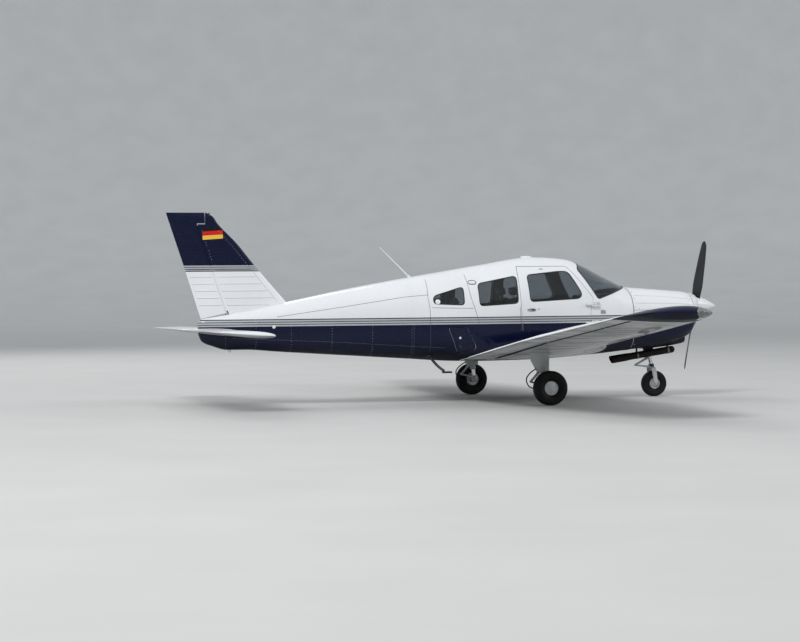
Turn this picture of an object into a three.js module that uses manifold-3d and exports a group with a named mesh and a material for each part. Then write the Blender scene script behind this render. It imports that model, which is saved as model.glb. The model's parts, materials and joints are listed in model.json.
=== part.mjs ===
// Light aircraft: four seats, low wing, fixed nose-wheel gear, all-moving tailplane.
// Millimetres. +X points to the nose, +Y to the left wing tip, +Z up, wheels standing on z = 0.
// Stations in the tables are measured from the main wheel axle, forward positive.
import * as THREE from 'three';
import Module from 'manifold-3d';
import { mergeVertices } from 'three/addons/utils/BufferGeometryUtils.js';

const wasm = await Module();
wasm.setup();

// Driving dimensions
const SPINNER_TIP = 2885;
const RUDDER_REAR = -4404;
const SHIFT_X = -(SPINNER_TIP + RUDDER_REAR) / 2;
const SEAT_GAP = 0.3;
const PANEL_GAP = 5;
const SURFACE_GAP = 7;
const WALL = 40;
const COWL_WALL = 15;
const TAIL_WALL = 10;
const GLASS = 8;
const GLASS_INSET = 3;
const FIREWALL_X = 1519;
const FIREWALL_THICK = 11;
const CABIN_REAR = -1400;

// Materials: colour, roughness, metalness
const paint = {
  white: { color: 0xe8eaec, roughness: 0.3, metalness: 0.1 },
  navy: { color: 0x0c1330, roughness: 0.3, metalness: 0.1 },
  black: { color: 0x101114, roughness: 0.6, metalness: 0.0 },
  rubber: { color: 0x17171a, roughness: 0.9, metalness: 0.0 },
  steel: { color: 0x6b6e72, roughness: 0.45, metalness: 0.7 },
  alloy: { color: 0xb9bdc2, roughness: 0.35, metalness: 0.6 },
  glass: { color: 0x2a3138, roughness: 0.08, metalness: 0.0, transparent: true, opacity: 0.4 },
  leather: { color: 0x5d4a3c, roughness: 0.7, metalness: 0.0 },
  grey: { color: 0x8f969c, roughness: 0.6, metalness: 0.1 },
  soot: { color: 0x2b2825, roughness: 0.8, metalness: 0.3 },
};

const aircraft = new THREE.Group();
const rad = THREE.MathUtils.degToRad;
const lerp = THREE.MathUtils.lerp;

// Solid helpers

function toSolid(geometry) {
  let g = geometry.clone();
  for (const name of Object.keys(g.attributes)) {
    if (name !== 'position') g.deleteAttribute(name);
  }
  g = mergeVertices(g, 1e-3);
  const mesh = new wasm.Mesh({
    numProp: 3,
    vertProperties: new Float32Array(g.attributes.position.array),
    triVerts: new Uint32Array(g.index.array),
  });
  return new wasm.Manifold(mesh);
}

function toGeometry(solid) {
  const mesh = solid.getMesh();
  const g = new THREE.BufferGeometry();
  g.setAttribute('position', new THREE.BufferAttribute(new Float32Array(mesh.vertProperties), 3));
  g.setIndex(new THREE.BufferAttribute(new Uint32Array(mesh.triVerts), 1));
  return g;
}

function add(name, solid, look) {
  const material = new THREE.MeshStandardMaterial({ ...paint[look] });
  const mesh = new THREE.Mesh(toGeometry(solid), material);
  mesh.name = name;
  mesh.position.x = SHIFT_X;
  aircraft.add(mesh);
}

// A closed loft through rings of equal point count, flat at both ends
function loft(rings) {
  const n = rings[0].length;
  const points = rings.flat();
  const index = [];
  for (let r = 0; r < rings.length - 1; r++) {
    for (let i = 0; i < n; i++) {
      const a = r * n + i;
      const b = r * n + (i + 1) % n;
      index.push(a, b, b + n, a, b + n, a + n);
    }
  }
  const last = (rings.length - 1) * n;
  const caps = [[0, true], [last, false]];
  for (const [first, flip] of caps) {
    const centre = new THREE.Vector3();
    for (let i = 0; i < n; i++) centre.add(points[first + i]);
    points.push(centre.divideScalar(n));
    const c = points.length - 1;
    for (let i = 0; i < n; i++) {
      const a = first + i;
      const b = first + (i + 1) % n;
      index.push(...(flip ? [c, b, a] : [c, a, b]));
    }
  }
  let volume = 0;
  for (let t = 0; t < index.length; t += 3) {
    const [p, q, s] = [points[index[t]], points[index[t + 1]], points[index[t + 2]]];
    volume += p.dot(q.clone().cross(s));
  }
  if (volume < 0) index.reverse();
  const g = new THREE.BufferGeometry();
  g.setAttribute('position', new THREE.Float32BufferAttribute(points.flatMap((p) => p.toArray()), 3));
  g.setIndex(index);
  return toSolid(g);
}

function box(x0, x1, y0, y1, z0, z1) {
  const g = new THREE.BoxGeometry(x1 - x0, y1 - y0, z1 - z0);
  g.translate((x0 + x1) / 2, (y0 + y1) / 2, (z0 + z1) / 2);
  return toSolid(g);
}

// An outline of [u, v] points pushed along one axis: 'y' takes (x, z), 'z' takes (x, y)
function prism(outline, axis, from, to) {
  const shape = new THREE.Shape(outline.map(([u, v]) => new THREE.Vector2(u, v)));
  const g = new THREE.ExtrudeGeometry(shape, { depth: to - from, bevelEnabled: false, curveSegments: 6 });
  if (axis === 'y') {
    g.rotateX(Math.PI / 2);
    g.translate(0, to, 0);
  } else {
    g.translate(0, 0, from);
  }
  return toSolid(g);
}

// A tapered rod between two points
function rod(a, b, radiusA, radiusB = radiusA, sides = 12) {
  const from = new THREE.Vector3(...a);
  const to = new THREE.Vector3(...b);
  const along = to.clone().sub(from);
  const g = new THREE.CylinderGeometry(radiusB, radiusA, along.length(), sides);
  const up = new THREE.Vector3(0, 1, 0);
  g.applyQuaternion(new THREE.Quaternion().setFromUnitVectors(up, along.clone().normalize()));
  const middle = from.add(to).divideScalar(2);
  g.translate(middle.x, middle.y, middle.z);
  return toSolid(g);
}

// The hole in which a faceted pin of the given radius turns without touching
function socket(a, b, pinRadius, sides = 12) {
  const radius = (pinRadius + SEAT_GAP) / Math.cos(Math.PI / sides);
  return rod(a, b, radius, radius, sides);
}

// A profile of [radius, height] turned about the line through centre along axis x, y or z
function turned(profile, centre, axis, sides = 32) {
  const g = new THREE.LatheGeometry(profile.map(([r, h]) => new THREE.Vector2(r, h)), sides);
  if (axis === 'x') g.rotateZ(-Math.PI / 2);
  if (axis === 'z') g.rotateX(Math.PI / 2);
  g.translate(...centre);
  const solid = toSolid(g);
  if (solid.volume() > 0) return solid;
  g.setIndex(Array.from(g.index.array).reverse());
  return toSolid(g);
}

function tube(points, radius, sides, steps) {
  const path = new THREE.CatmullRomCurve3(points.map((p) => new THREE.Vector3(...p)));
  const shape = new THREE.Shape();
  shape.absarc(0, 0, radius, 0, Math.PI * 2);
  const options = { steps, extrudePath: path, curveSegments: sides };
  return toSolid(new THREE.ExtrudeGeometry(shape, options));
}

function mirrored(solid) {
  const mesh = solid.getMesh();
  const positions = new Float32Array(mesh.vertProperties);
  for (let i = 1; i < positions.length; i += 3) positions[i] = -positions[i];
  const g = new THREE.BufferGeometry();
  g.setAttribute('position', new THREE.BufferAttribute(positions, 3));
  g.setIndex(Array.from(mesh.triVerts).reverse());
  return toSolid(g);
}

// Outline moved inwards by a margin, for convex outlines listed anticlockwise
function shrunk(outline, margin) {
  const n = outline.length;
  const turn = outline.reduce((sum, [u, v], i) => {
    const [p, q] = outline[(i + 1) % n];
    return sum + u * q - p * v;
  }, 0);
  const side = turn > 0 ? 1 : -1;
  const edges = outline.map(([u, v], i) => {
    const [p, q] = outline[(i + 1) % n];
    const length = Math.hypot(p - u, q - v);
    const normal = [-(q - v) / length * side, (p - u) / length * side];
    return { normal, offset: normal[0] * u + normal[1] * v + margin };
  });
  return edges.map((edge, i) => {
    const before = edges[(i + n - 1) % n];
    const det = before.normal[0] * edge.normal[1] - before.normal[1] * edge.normal[0];
    const u = (before.offset * edge.normal[1] - edge.offset * before.normal[1]) / det;
    const v = (before.normal[0] * edge.offset - edge.normal[0] * before.offset) / det;
    return [u, v];
  });
}

// Outline with each corner cut by a short chamfer, in place of a small radius
function eased(outline, size) {
  const n = outline.length;
  return outline.flatMap(([u, v], i) => {
    return [outline[(i + n - 1) % n], outline[(i + 1) % n]].map(([p, q]) => {
      const t = size / Math.hypot(p - u, q - v);
      return [lerp(u, p, t), lerp(v, q, t)];
    });
  });
}

// Fuselage: cross sections are two half super-ellipses that meet at the widest height

// station, top, bottom, half width, widest height
const CABIN_SECTIONS = [
  [1519, 1429, 610, 505, 1010],
  [1360, 1507, 594, 524, 1008],
  [1200, 1586, 578, 540, 1005],
  [871, 1747, 553, 555, 1000],
  [718, 1792, 540, 560, 1000],
  [315, 1817, 518, 562, 1000],
  [-372, 1724, 507, 552, 1000],
  [-800, 1656, 514, 524, 1000],
  [-1400, 1560, 553, 440, 1010],
];
const TAIL_SECTIONS = [
  [-1400, 1560, 553, 440, 1010],
  [-2046, 1449, 597, 345, 1000],
  [-3026, 1254, 665, 205, 950],
  [-3444, 1170, 696, 145, 930],
  [-3666, 1128, 697, 112, 915],
  [-3848, 1097, 746, 80, 920],
  [-3980, 1074, 806, 50, 935],
  [-4020, 1050, 888, 26, 965],
];
const COWL_SECTIONS = [
  [2532, 1312, 1036, 215, 1150],
  [2512, 1330, 1000, 290, 1145],
  [2472, 1344, 935, 355, 1130],
  [2420, 1354, 858, 402, 1110],
  [2360, 1363, 785, 438, 1090],
  [2100, 1385, 690, 472, 1050],
  [1771, 1410, 640, 492, 1020],
  [1519, 1429, 610, 505, 1010],
];
const ROUND_TOP = 2.6;
const ROUND_BELLY = 3.8;
const SECTION_POINTS = 28;

function bodyRing([station, top, bottom, half, wide], inset) {
  const ring = [];
  for (let i = 0; i < SECTION_POINTS; i++) {
    const t = (i / SECTION_POINTS) * Math.PI * 2;
    const power = 2 / (Math.sin(t) >= 0 ? ROUND_TOP : ROUND_BELLY);
    const y = Math.sign(Math.cos(t)) * Math.abs(Math.cos(t)) ** power * (half - inset);
    const rise = Math.sin(t) >= 0 ? top - inset - wide : wide - bottom - inset;
    const z = wide + Math.sign(Math.sin(t)) * Math.abs(Math.sin(t)) ** power * rise;
    ring.push(new THREE.Vector3(station, y, z));
  }
  return ring;
}

function sectionAt(sections, station) {
  const i = sections.findIndex((s, k) => k > 0 && (s[0] - station) * (sections[0][0] - station) <= 0);
  const [a, b] = [sections[i - 1], sections[i]];
  return a.map((value, k) => lerp(value, b[k], (station - a[0]) / (b[0] - a[0])));
}

// Half width of the body at a station and height
function sideAt(sections, station, height) {
  const [, top, bottom, half, wide] = sectionAt(sections, station);
  const power = height > wide ? ROUND_TOP : ROUND_BELLY;
  const rise = height > wide ? (height - wide) / (top - wide) : (wide - height) / (wide - bottom);
  return half * (1 - rise ** power) ** (1 / power);
}

// The body skin between two stations, moved inwards by an inset
function skin(sections, from, to, inset = 0) {
  const low = Math.min(from, to);
  const high = Math.max(from, to);
  const inner = sections.filter(([x]) => x > low + 1 && x < high - 1);
  const ends = [high, low].map((x) => sectionAt(sections, x));
  return loft([ends[0], ...inner, ends[1]].map((s) => bodyRing(s, inset)));
}

function moved(sections, distance) {
  return sections.map((s, i) => {
    if (i === 0) return [s[0] + distance, ...s.slice(1)];
    if (i === sections.length - 1) return [s[0] - distance, ...s.slice(1)];
    return s;
  });
}

// Window, door and hatch outlines as [station, height]
const WINDSHIELD = [[1501, 1436], [1030, 1278], [800, 1655], [858, 1739], [950, 1900], [1720, 1620]];
const FRONT_WINDOW = [[87, 1591], [106, 1246], [773, 1281], [815, 1342], [655, 1634], [526, 1636]];
const MIDDLE_WINDOW = [[-566, 1486], [-558, 1200], [-47, 1229], [-45, 1584]];
const REAR_WINDOW = [[-1139, 1336], [-1142, 1232], [-745, 1213], [-747, 1454]];
const DOOR = [[-200, 1700], [655, 1700], [965, 1290], [944, 1225], [888, 950], [884, 880], [-200, 880]];
const BAGGAGE_DOOR = [[-972, 952], [-728, 945], [-588, 668], [-838, 612]];
const DOOR_HINGE = [930, -575];
const HINGE_HEIGHTS = [975, 1215];
const CORNER = { window: 24, door: 20, hatch: 34 };

// The door's rear edge is part of a cone about the hinge line: height, station and half width at two points
const DOOR_REAR = [[850, 4, 552], [1740, 13, 270]];

// Hinge arms of the cabin door: bar from the hinge line to feet on the door and on the shell
const LUG = { barrel: 9, out: 8, back: 10, foot: 26, root: 60, thick: 15, onDoor: 846, onShell: 1024 };

// Ends of the baggage door's hinge barrel, along the door's front edge at the skin
const HATCH_BARREL = 6.7;
const HATCH_THICK = 16;
const HATCH_HINGE = [[-704, 881], [-634, 743]].map(([x, z]) => [x, -sideAt(CABIN_SECTIONS, x, z), z]);

// The shell is riveted from four pressings: a front and a rear tub, and a roof skin over each
const WAIST = 1465;
const WAIST_FRONT = 1000;
const MIDDLE_FRAME = -300;

// How far across the aircraft a side window or door is cut
const RIGHT = [-700, -150];
const LEFT = [150, 700];

function glassPane(outline, from, to) {
  const cut = prism(shrunk(outline, SEAT_GAP), 'y', from, to);
  const outer = skin(CABIN_SECTIONS, FIREWALL_X, CABIN_REAR, GLASS_INSET);
  const inner = skin(moved(CABIN_SECTIONS, 5), FIREWALL_X + 5, CABIN_REAR - 5, GLASS_INSET + GLASS);
  return outer.subtract(inner).intersect(cut);
}

// The volume swept inside the door's rear edge, a cone about the hinge line
function doorSweep(grow) {
  const [[z0, ...low], [z1, ...high]] = DOOR_REAR;
  const reach = ([x, half]) => Math.hypot(DOOR_HINGE[0] - x, -DOOR_HINGE[1] - half) + grow;
  const lower = reach(low);
  const upper = reach(high);
  const profile = [[0, z0 - 100], [lower, z0 - 100], [lower, z0], [upper, z1], [0, z1]];
  return turned(profile, [...DOOR_HINGE, 0], 'z', 120);
}

// A hinge arm outside the skin, from the barrel at the hinge line to a foot at the given station
function hingeLug(z0, z1, foot) {
  const [x, y] = DOOR_HINGE;
  const side = Math.sign(foot - x);
  const ends = (a, b) => [Math.min(a, b), Math.max(a, b)];
  const barrel = turned([[0, z0], [LUG.barrel, z0], [LUG.barrel, z1], [0, z1]], [x, y, 0], 'z', 10);
  const bar = box(...ends(x, foot), y - LUG.out, y + LUG.back, z0, z1);
  const root = box(...ends(foot, foot - side * LUG.foot), y - LUG.out, y + LUG.root, z0, z1);
  return barrel.add(bar).add(root);
}

function cabinBlank() {
  const outer = skin(CABIN_SECTIONS, FIREWALL_X - SEAT_GAP, CABIN_REAR);
  const inner = skin(CABIN_SECTIONS, FIREWALL_X - SEAT_GAP, CABIN_REAR + WALL, WALL);
  const mouth = skin(moved(CABIN_SECTIONS, 5), FIREWALL_X + 5, FIREWALL_X - 60, WALL);
  return outer.subtract(inner).subtract(mouth);
}

function buildCabin() {
  const blank = cabinBlank();
  let shell = blank.subtract(prism(WINDSHIELD, 'y', -800, 800));
  for (const outline of [FRONT_WINDOW, MIDDLE_WINDOW, REAR_WINDOW]) {
    shell = shell.subtract(prism(eased(outline, CORNER.window), 'y', ...LEFT));
  }
  for (const outline of [MIDDLE_WINDOW, REAR_WINDOW]) {
    shell = shell.subtract(prism(eased(outline, CORNER.window), 'y', ...RIGHT));
  }
  const doorEdge = eased(DOOR, CORNER.door);
  const doorway = prism(doorEdge, 'y', ...RIGHT).intersect(doorSweep(PANEL_GAP + 1));
  const hatchway = prism(eased(BAGGAGE_DOOR, CORNER.hatch), 'y', ...RIGHT);
  shell = shell.subtract(doorway).subtract(hatchway);
  const doorOutline = prism(shrunk(doorEdge, PANEL_GAP), 'y', ...RIGHT);
  let door = blank.intersect(doorOutline).intersect(doorSweep(0));
  door = door.subtract(prism(eased(FRONT_WINDOW, CORNER.window), 'y', ...RIGHT));
  const liner = skin(CABIN_SECTIONS, FIREWALL_X - 20, 0, WALL / 2);
  for (const z of HINGE_HEIGHTS) {
    door = door.add(hingeLug(z - LUG.thick, z + LUG.thick, LUG.onDoor).subtract(liner));
    const inner = LUG.thick + SEAT_GAP;
    const outer = 2 * LUG.thick;
    for (const [low, high] of [[z - outer, z - inner], [z + inner, z + outer]]) {
      shell = shell.add(hingeLug(low, high, LUG.onShell).subtract(liner));
    }
  }
  return { shell, door, hatch: buildHatch(blank) };
}

function pressings(shell) {
  const above = (gap) => box(-2000, WAIST_FRONT + gap, -900, 900, WAIST - gap, 3000);
  const ahead = box(MIDDLE_FRAME, 3000, -900, 900, 0, 3000);
  const behind = box(-3000, MIDDLE_FRAME - SEAT_GAP, -900, 900, 0, 3000);
  const roof = shell.intersect(above(0));
  const tub = shell.subtract(above(SEAT_GAP));
  return {
    cabin_shell: tub.intersect(ahead),
    cabin_shell_rear: tub.intersect(behind),
    cabin_roof_front: roof.intersect(ahead),
    cabin_roof_rear: roof.intersect(behind),
  };
}

function buildHatch(blank) {
  const liner = skin(CABIN_SECTIONS, FIREWALL_X - 20, CABIN_REAR + 10, HATCH_THICK);
  const outline = prism(shrunk(eased(BAGGAGE_DOOR, CORNER.hatch), PANEL_GAP + 2), 'y', ...RIGHT);
  const barrel = rod(...HATCH_HINGE, HATCH_BARREL, HATCH_BARREL, 8);
  return blank.subtract(liner).intersect(outline).add(barrel);
}

// Wing: NACA four-digit style sections in a frame that is tilted by the dihedral at the root
const DIHEDRAL = 7;
const WING_ROOT = [600, 546];
const WING_CAMBER = 0.02;
const CAMBER_PLACE = 0.4;
const AIRFOIL_STEPS = 8;
// span from the root point, leading edge station, trailing edge station, incidence in degrees, thickness
const WING_SECTIONS = [
  [-160, 1190, -805, 4.5, 0.125],
  [60, 1050, -805, 4.5, 0.13],
  [500, 806, -805, 4.5, 0.15],
  [2112, 795, -805, 4.3, 0.15],
  [4440, 478, -598, 1.3, 0.145],
];
const TIP_SECTIONS = [
  [4440.3, 478, -598, 1.3, 0.145],
  [4600, 462, -592, 1.3, 0.145],
  [4715, 430, -575, 1.3, 0.138],
  [4770, 380, -560, 1.3, 0.115],
];
const CONTROL_CHORD = 0.8;
const FLAP_SPAN = [60, 2090];
const AILERON_SPAN = [2130, 4380];

function airfoilHalf(u, thickness) {
  const cubic = 0.2969 * Math.sqrt(u) - 0.126 * u - 0.3516 * u ** 2 + 0.2843 * u ** 3;
  return 5 * thickness * (cubic - 0.1015 * u ** 4);
}

function camberLine(u, camber) {
  const p = CAMBER_PLACE;
  if (u < p) return (camber / p ** 2) * (2 * p * u - u ** 2);
  return (camber / (1 - p) ** 2) * (1 - 2 * p + 2 * p * u - u ** 2);
}

function airfoil(chord, thickness, camber) {
  const points = [];
  for (let i = AIRFOIL_STEPS; i >= -AIRFOIL_STEPS; i--) {
    if (i === 0 && points.length === 0) continue;
    const u = (1 - Math.cos((Math.PI * Math.abs(i)) / AIRFOIL_STEPS)) / 2;
    const half = airfoilHalf(u, thickness) * (i > 0 ? 1 : -1);
    points.push([u * chord, (camberLine(u, camber) + (i === 0 ? 0 : half)) * chord]);
  }
  return points;
}

function wingRing([span, nose, tail, incidence, thickness]) {
  const chord = nose - tail;
  const slope = Math.sin(rad(incidence));
  return airfoil(chord, thickness, WING_CAMBER).map(([back, up]) => {
    return new THREE.Vector3(nose - back + up * slope, span, (chord - back) * slope + up);
  });
}

// Places wing-frame solids in the aircraft, left side
const WING_FRAME = new THREE.Matrix4()
  .makeTranslation(0, ...WING_ROOT)
  .multiply(new THREE.Matrix4().makeRotationX(rad(DIHEDRAL)));

function placeWing(solid) {
  return toSolid(toGeometry(solid).applyMatrix4(WING_FRAME));
}

// Hinge point and barrel radius of a control surface at a span
function hingeAt(span) {
  const i = Math.max(1, WING_SECTIONS.findIndex(([s]) => s >= span));
  const [a, b] = [WING_SECTIONS[i - 1], WING_SECTIONS[i]];
  const t = (span - a[0]) / (b[0] - a[0]);
  const [, nose, tail, incidence, thickness] = a.map((value, k) => lerp(value, b[k], t));
  const chord = nose - tail;
  const up = camberLine(CONTROL_CHORD, WING_CAMBER) * chord;
  const height = chord * (1 - CONTROL_CHORD) * Math.sin(rad(incidence)) + up;
  const radius = airfoilHalf(CONTROL_CHORD, thickness) * chord * 0.96;
  return { point: [nose - CONTROL_CHORD * chord, span, height], radius };
}

const PIN_RADIUS = 9;
const PIN_REACH = 20;

function controlSurface(wing, [from, to]) {
  const start = hingeAt(from);
  const end = hingeAt(to);
  const outline = (lead, ends) => [
    [start.point[0] + lead, from + ends],
    [end.point[0] + lead, to - ends],
    [-1500, to - ends],
    [-1500, from + ends],
  ];
  const gapOutline = outline(0, 0);
  gapOutline[0][0] += start.radius + SURFACE_GAP;
  gapOutline[1][0] += end.radius + SURFACE_GAP;
  const along = (t) => start.point.map((value, k) => lerp(value, end.point[k], t));
  const length = Math.hypot(...start.point.map((value, k) => end.point[k] - value));
  const edge = SURFACE_GAP / length;
  const barrel = rod(along(edge), along(1 - edge), start.radius, end.radius, 20);
  const reach = (PIN_REACH - SURFACE_GAP) / length;
  const pin = rod(along(-reach), along(1 + reach), PIN_RADIUS);
  const deep = reach + SEAT_GAP / length;
  const rear = wing.intersect(prism(outline(0, SURFACE_GAP), 'z', -600, 900));
  const surface = rear.add(barrel).add(pin);
  const holes = socket(along(-deep), along(1 + deep), PIN_RADIUS);
  const cutWing = wing.subtract(prism(gapOutline, 'z', -600, 900)).subtract(holes);
  return { surface, cutWing };
}

function buildWings() {
  const body = skin(CABIN_SECTIONS, FIREWALL_X, CABIN_REAR, -SEAT_GAP);
  const blank = loft(WING_SECTIONS.map(wingRing));
  const flap = controlSurface(blank, FLAP_SPAN);
  const aileron = controlSurface(flap.cutWing, AILERON_SPAN);
  const wing = placeWing(aileron.cutWing);
  const tip = placeWing(loft(TIP_SECTIONS.map(wingRing)));
  const sides = { left: (s) => s, right: mirrored };
  for (const [side, place] of Object.entries(sides)) {
    add(`wing_${side}`, place(wing).subtract(body), 'white');
    add(`wing_tip_${side}`, place(tip), 'navy');
    add(`flap_${side}`, place(placeWing(flap.surface)), 'white');
    add(`aileron_${side}`, place(placeWing(aileron.surface)), 'white');
  }
  return wing;
}

// Tail
// height, leading edge station, trailing edge station
const FIN_SECTIONS = [
  [1060, -2720, -3980],
  [1751, -3320, -4198],
  [2007, -3528, -4282],
  [2251, -3765, -4362],
  [2336, -3824, -4390],
  [2385, -3910, -4404],
];
const FIN_THICKNESS = 0.085;
const HINGE_FOOT = [1133, -3674];
const HINGE_HEAD = [2251, -4046];
const HORN_FRONT = -3930;
const HORN_BOTTOM = 2252;
const RUDDER_GAP = 11;
const RUDDER_FOOT = 1150;
const RUDDER_PIN_FOOT = 1105;
const RUDDER_OVER_TAIL = 26;
const TAIL_END = -4020;

function rudderHinge(z) {
  return lerp(HINGE_FOOT[1], HINGE_HEAD[1], (z - HINGE_FOOT[0]) / (HINGE_HEAD[0] - HINGE_FOOT[0]));
}

function finRing([z, nose, tail]) {
  return airfoil(nose - tail, FIN_THICKNESS, 0)
    .map(([back, side]) => new THREE.Vector3(nose - back, side, z));
}

// Radius of the rudder's round nose at a height, just inside the fin's own thickness there
function rudderNose(z) {
  const i = Math.max(1, FIN_SECTIONS.findIndex(([height]) => height >= z));
  const [a, b] = [FIN_SECTIONS[i - 1], FIN_SECTIONS[i]];
  const t = (z - a[0]) / (b[0] - a[0]);
  const nose = lerp(a[1], b[1], t);
  const chord = nose - lerp(a[2], b[2], t);
  return airfoilHalf((nose - rudderHinge(z)) / chord, FIN_THICKNESS) * chord * 0.95;
}

// Side view of what lies behind the rudder's hinge line, ahead of it by a gap that may differ at foot and top
function behindHinge(low, top, lowLead, topLead, hornLead) {
  return [
    [rudderHinge(low) + lowLead, low],
    [rudderHinge(top) + topLead, top],
    [HORN_FRONT + hornLead, top],
    [HORN_FRONT + hornLead, 2500],
    [-4600, 2500],
    [-4600, low],
  ];
}

function buildTail() {
  const blank = loft(FIN_SECTIONS.map(finRing));
  const barrelTop = HORN_BOTTOM - RUDDER_GAP;
  const lowRadius = rudderNose(RUDDER_FOOT);
  const topRadius = rudderNose(HORN_BOTTOM);
  const finCut = behindHinge(900, barrelTop, lowRadius + RUDDER_GAP, topRadius + RUDDER_GAP, RUDDER_GAP);
  const underFin = prism([[-2500, 0], [-2500, 900], [-4600, 900], [-4600, 0]], 'y', -300, 300);
  const cone = skin(TAIL_SECTIONS, CABIN_REAR, TAIL_END, -SEAT_GAP);
  add('fin', blank.subtract(prism(finCut, 'y', -300, 300)).subtract(cone).subtract(underFin), 'navy');
  const overTail = sectionAt(TAIL_SECTIONS, TAIL_END)[1] + RUDDER_OVER_TAIL;
  const rudderFloor = [
    [rudderHinge(RUDDER_FOOT) + 100, RUDDER_FOOT],
    [rudderHinge(RUDDER_FOOT), RUDDER_FOOT],
    [TAIL_END, overTail],
    [-4600, overTail],
    [-4600, 900],
    [-3500, 900],
  ];
  const onHinge = (z) => [rudderHinge(z), 0, z];
  const barrel = rod(onHinge(RUDDER_FOOT), onHinge(barrelTop), lowRadius, topRadius, 20);
  const pin = rod(onHinge(RUDDER_PIN_FOOT), onHinge(RUDDER_FOOT + 20), PIN_RADIUS);
  const rudder = blank
    .intersect(prism(behindHinge(950, HORN_BOTTOM, 0, 0, 0), 'y', -300, 300))
    .subtract(prism(rudderFloor, 'y', -300, 300))
    .add(barrel)
    .add(pin);
  add('rudder', rudder, 'navy');
  return socket(onHinge(RUDDER_PIN_FOOT - 1), onHinge(RUDDER_FOOT), PIN_RADIUS);
}

// All-moving tailplane
const STAB_SPAN = 1980;
const STAB_ROOT = 150;
const STAB_NOSE = -3484;
const STAB_CHORD = 762;
const STAB_REST = 4;
const STAB_PIVOT = [-3700, 915];
const STAB_THICKNESS = 0.1;
const TORQUE_TUBE = 30;
const TUBE_INSIDE = 40;
const TAB_CHORD = 0.84;
const TAB_HALF = 1350;
const TAB_NOSE = 13;
const TAB_PIN = 6;

function stabTilt(solid) {
  const g = toGeometry(solid);
  g.translate(-STAB_PIVOT[0], 0, -STAB_PIVOT[1]);
  g.rotateY(rad(STAB_REST));
  g.translate(STAB_PIVOT[0], 0, STAB_PIVOT[1]);
  return toSolid(g);
}

function stabRing([span, inset]) {
  return airfoil(STAB_CHORD - 2 * inset, STAB_THICKNESS, 0)
    .map(([back, up]) => new THREE.Vector3(STAB_NOSE - inset - back, span, STAB_PIVOT[1] + up));
}

// span, how far the nose and tail draw in
const STAB_SECTIONS = [[STAB_ROOT, 0], [1900, 0], [1955, 22], [STAB_SPAN, 70]];

function buildStabilator() {
  const [pivotX, z] = STAB_PIVOT;
  const hingeX = STAB_NOSE - STAB_CHORD * TAB_CHORD;
  const half = loft(STAB_SECTIONS.map(stabRing));
  const slotFront = hingeX + TAB_NOSE + SURFACE_GAP;
  const tabSlot = box(-4500, slotFront, STAB_ROOT - 50, TAB_HALF + SURFACE_GAP, 700, 1200);
  const pinEnd = TAB_HALF + PIN_REACH;
  const pinHole = socket([hingeX, 0, z], [hingeX, pinEnd + SEAT_GAP, z], TAB_PIN);
  const trimmed = half.subtract(tabSlot).subtract(pinHole);
  const across = (reach) => [[pivotX, -reach, z], [pivotX, reach, z]];
  const torqueTube = rod(...across(STAB_ROOT + TUBE_INSIDE), TORQUE_TUBE, TORQUE_TUBE, 20);
  add('stabilator', stabTilt(trimmed.add(mirrored(trimmed)).add(torqueTube)), 'white');
  const flat = loft([[-TAB_HALF, 0], [TAB_HALF, 0]].map(stabRing));
  const blade = flat.intersect(box(-4500, hingeX, -TAB_HALF, TAB_HALF, 700, 1200));
  const nose = rod([hingeX, -TAB_HALF, z], [hingeX, TAB_HALF, z], TAB_NOSE, TAB_NOSE, 16);
  const pin = rod([hingeX, -pinEnd, z], [hingeX, pinEnd, z], TAB_PIN);
  add('stabilator_tab', stabTilt(blade.add(nose).add(pin)), 'white');
  return socket(...across(2 * STAB_ROOT), TORQUE_TUBE, 20);
}

const TIE_DOWN = { station: -3630, height: 683, inner: 9, outer: 17, half: 5, stemHalf: 8, stemTop: 730 };
const HOLLOW_END = -3560;

function buildTailCone(sockets) {
  const outer = skin(TAIL_SECTIONS, CABIN_REAR - SEAT_GAP, TAIL_END);
  const hollow = skin(moved(TAIL_SECTIONS, 5), CABIN_REAR + 5, HOLLOW_END, TAIL_WALL);
  let cone = outer.subtract(hollow);
  for (const bore of sockets) cone = cone.subtract(bore);
  const { station, height, inner: hole, outer: rim, half, stemHalf } = TIE_DOWN;
  const ring = [[hole, -half], [rim, -half], [rim, half], [hole, half]];
  const eye = turned([...ring, ring[0]], [station, 0, height], 'y', 16);
  const stem = box(station - stemHalf, station + stemHalf, -half, half, height + hole, TIE_DOWN.stemTop);
  add('tail_cone', cone.add(eye).add(stem), 'white');
}

// Engine bay
const SPLIT_HEIGHT = 1130;
const BOWL_REAR = 2380;
const BOWL_FACE = 2532;
const BOWL_WALL = 22;
const COWL_REAR = FIREWALL_X + FIREWALL_THICK + SEAT_GAP;
const THRUST_HEIGHT = 1170;
const CRANK_HOLE = 75;
// station, bottom, half width of the chin scoop under the lower cowl
const SCOOP_SECTIONS = [
  [2379.5, 700, 150],
  [2345, 690, 160],
  [2100, 652, 170],
  [1771, 628, 190],
  [1600, 640, 180],
];
const SCOOP_CORNER = { wide: 70, side: 30, low: 8, high: 45, root: 860 };
// Holes in the lower cowl as x0, x1, half width, z0, z1
const SCOOP_MOUTH = [2340, 2400, 110, 722, 748];
const COWL_OUTLET = [COWL_REAR - 5, 1640, 230, 500, 700];
const STRUT_HOLE = [1850, 2050, 76, 500, 720];
// One cooling inlet in the nose bowl, left side, as [y, z]
const INLET = [[170, 1075], [330, 1090], [330, 1205], [170, 1215]];

function scoopRing([station, bottom, half], inset) {
  const low = bottom + inset;
  const w = half - inset;
  const c = SCOOP_CORNER;
  const side = [[w - c.wide, low], [w - c.side, low + c.low], [w, low + c.high], [w, c.root]];
  const other = side.map(([y, z]) => [-y, z]).reverse();
  return [...other, ...side].map(([y, z]) => new THREE.Vector3(station, y, z));
}

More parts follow.
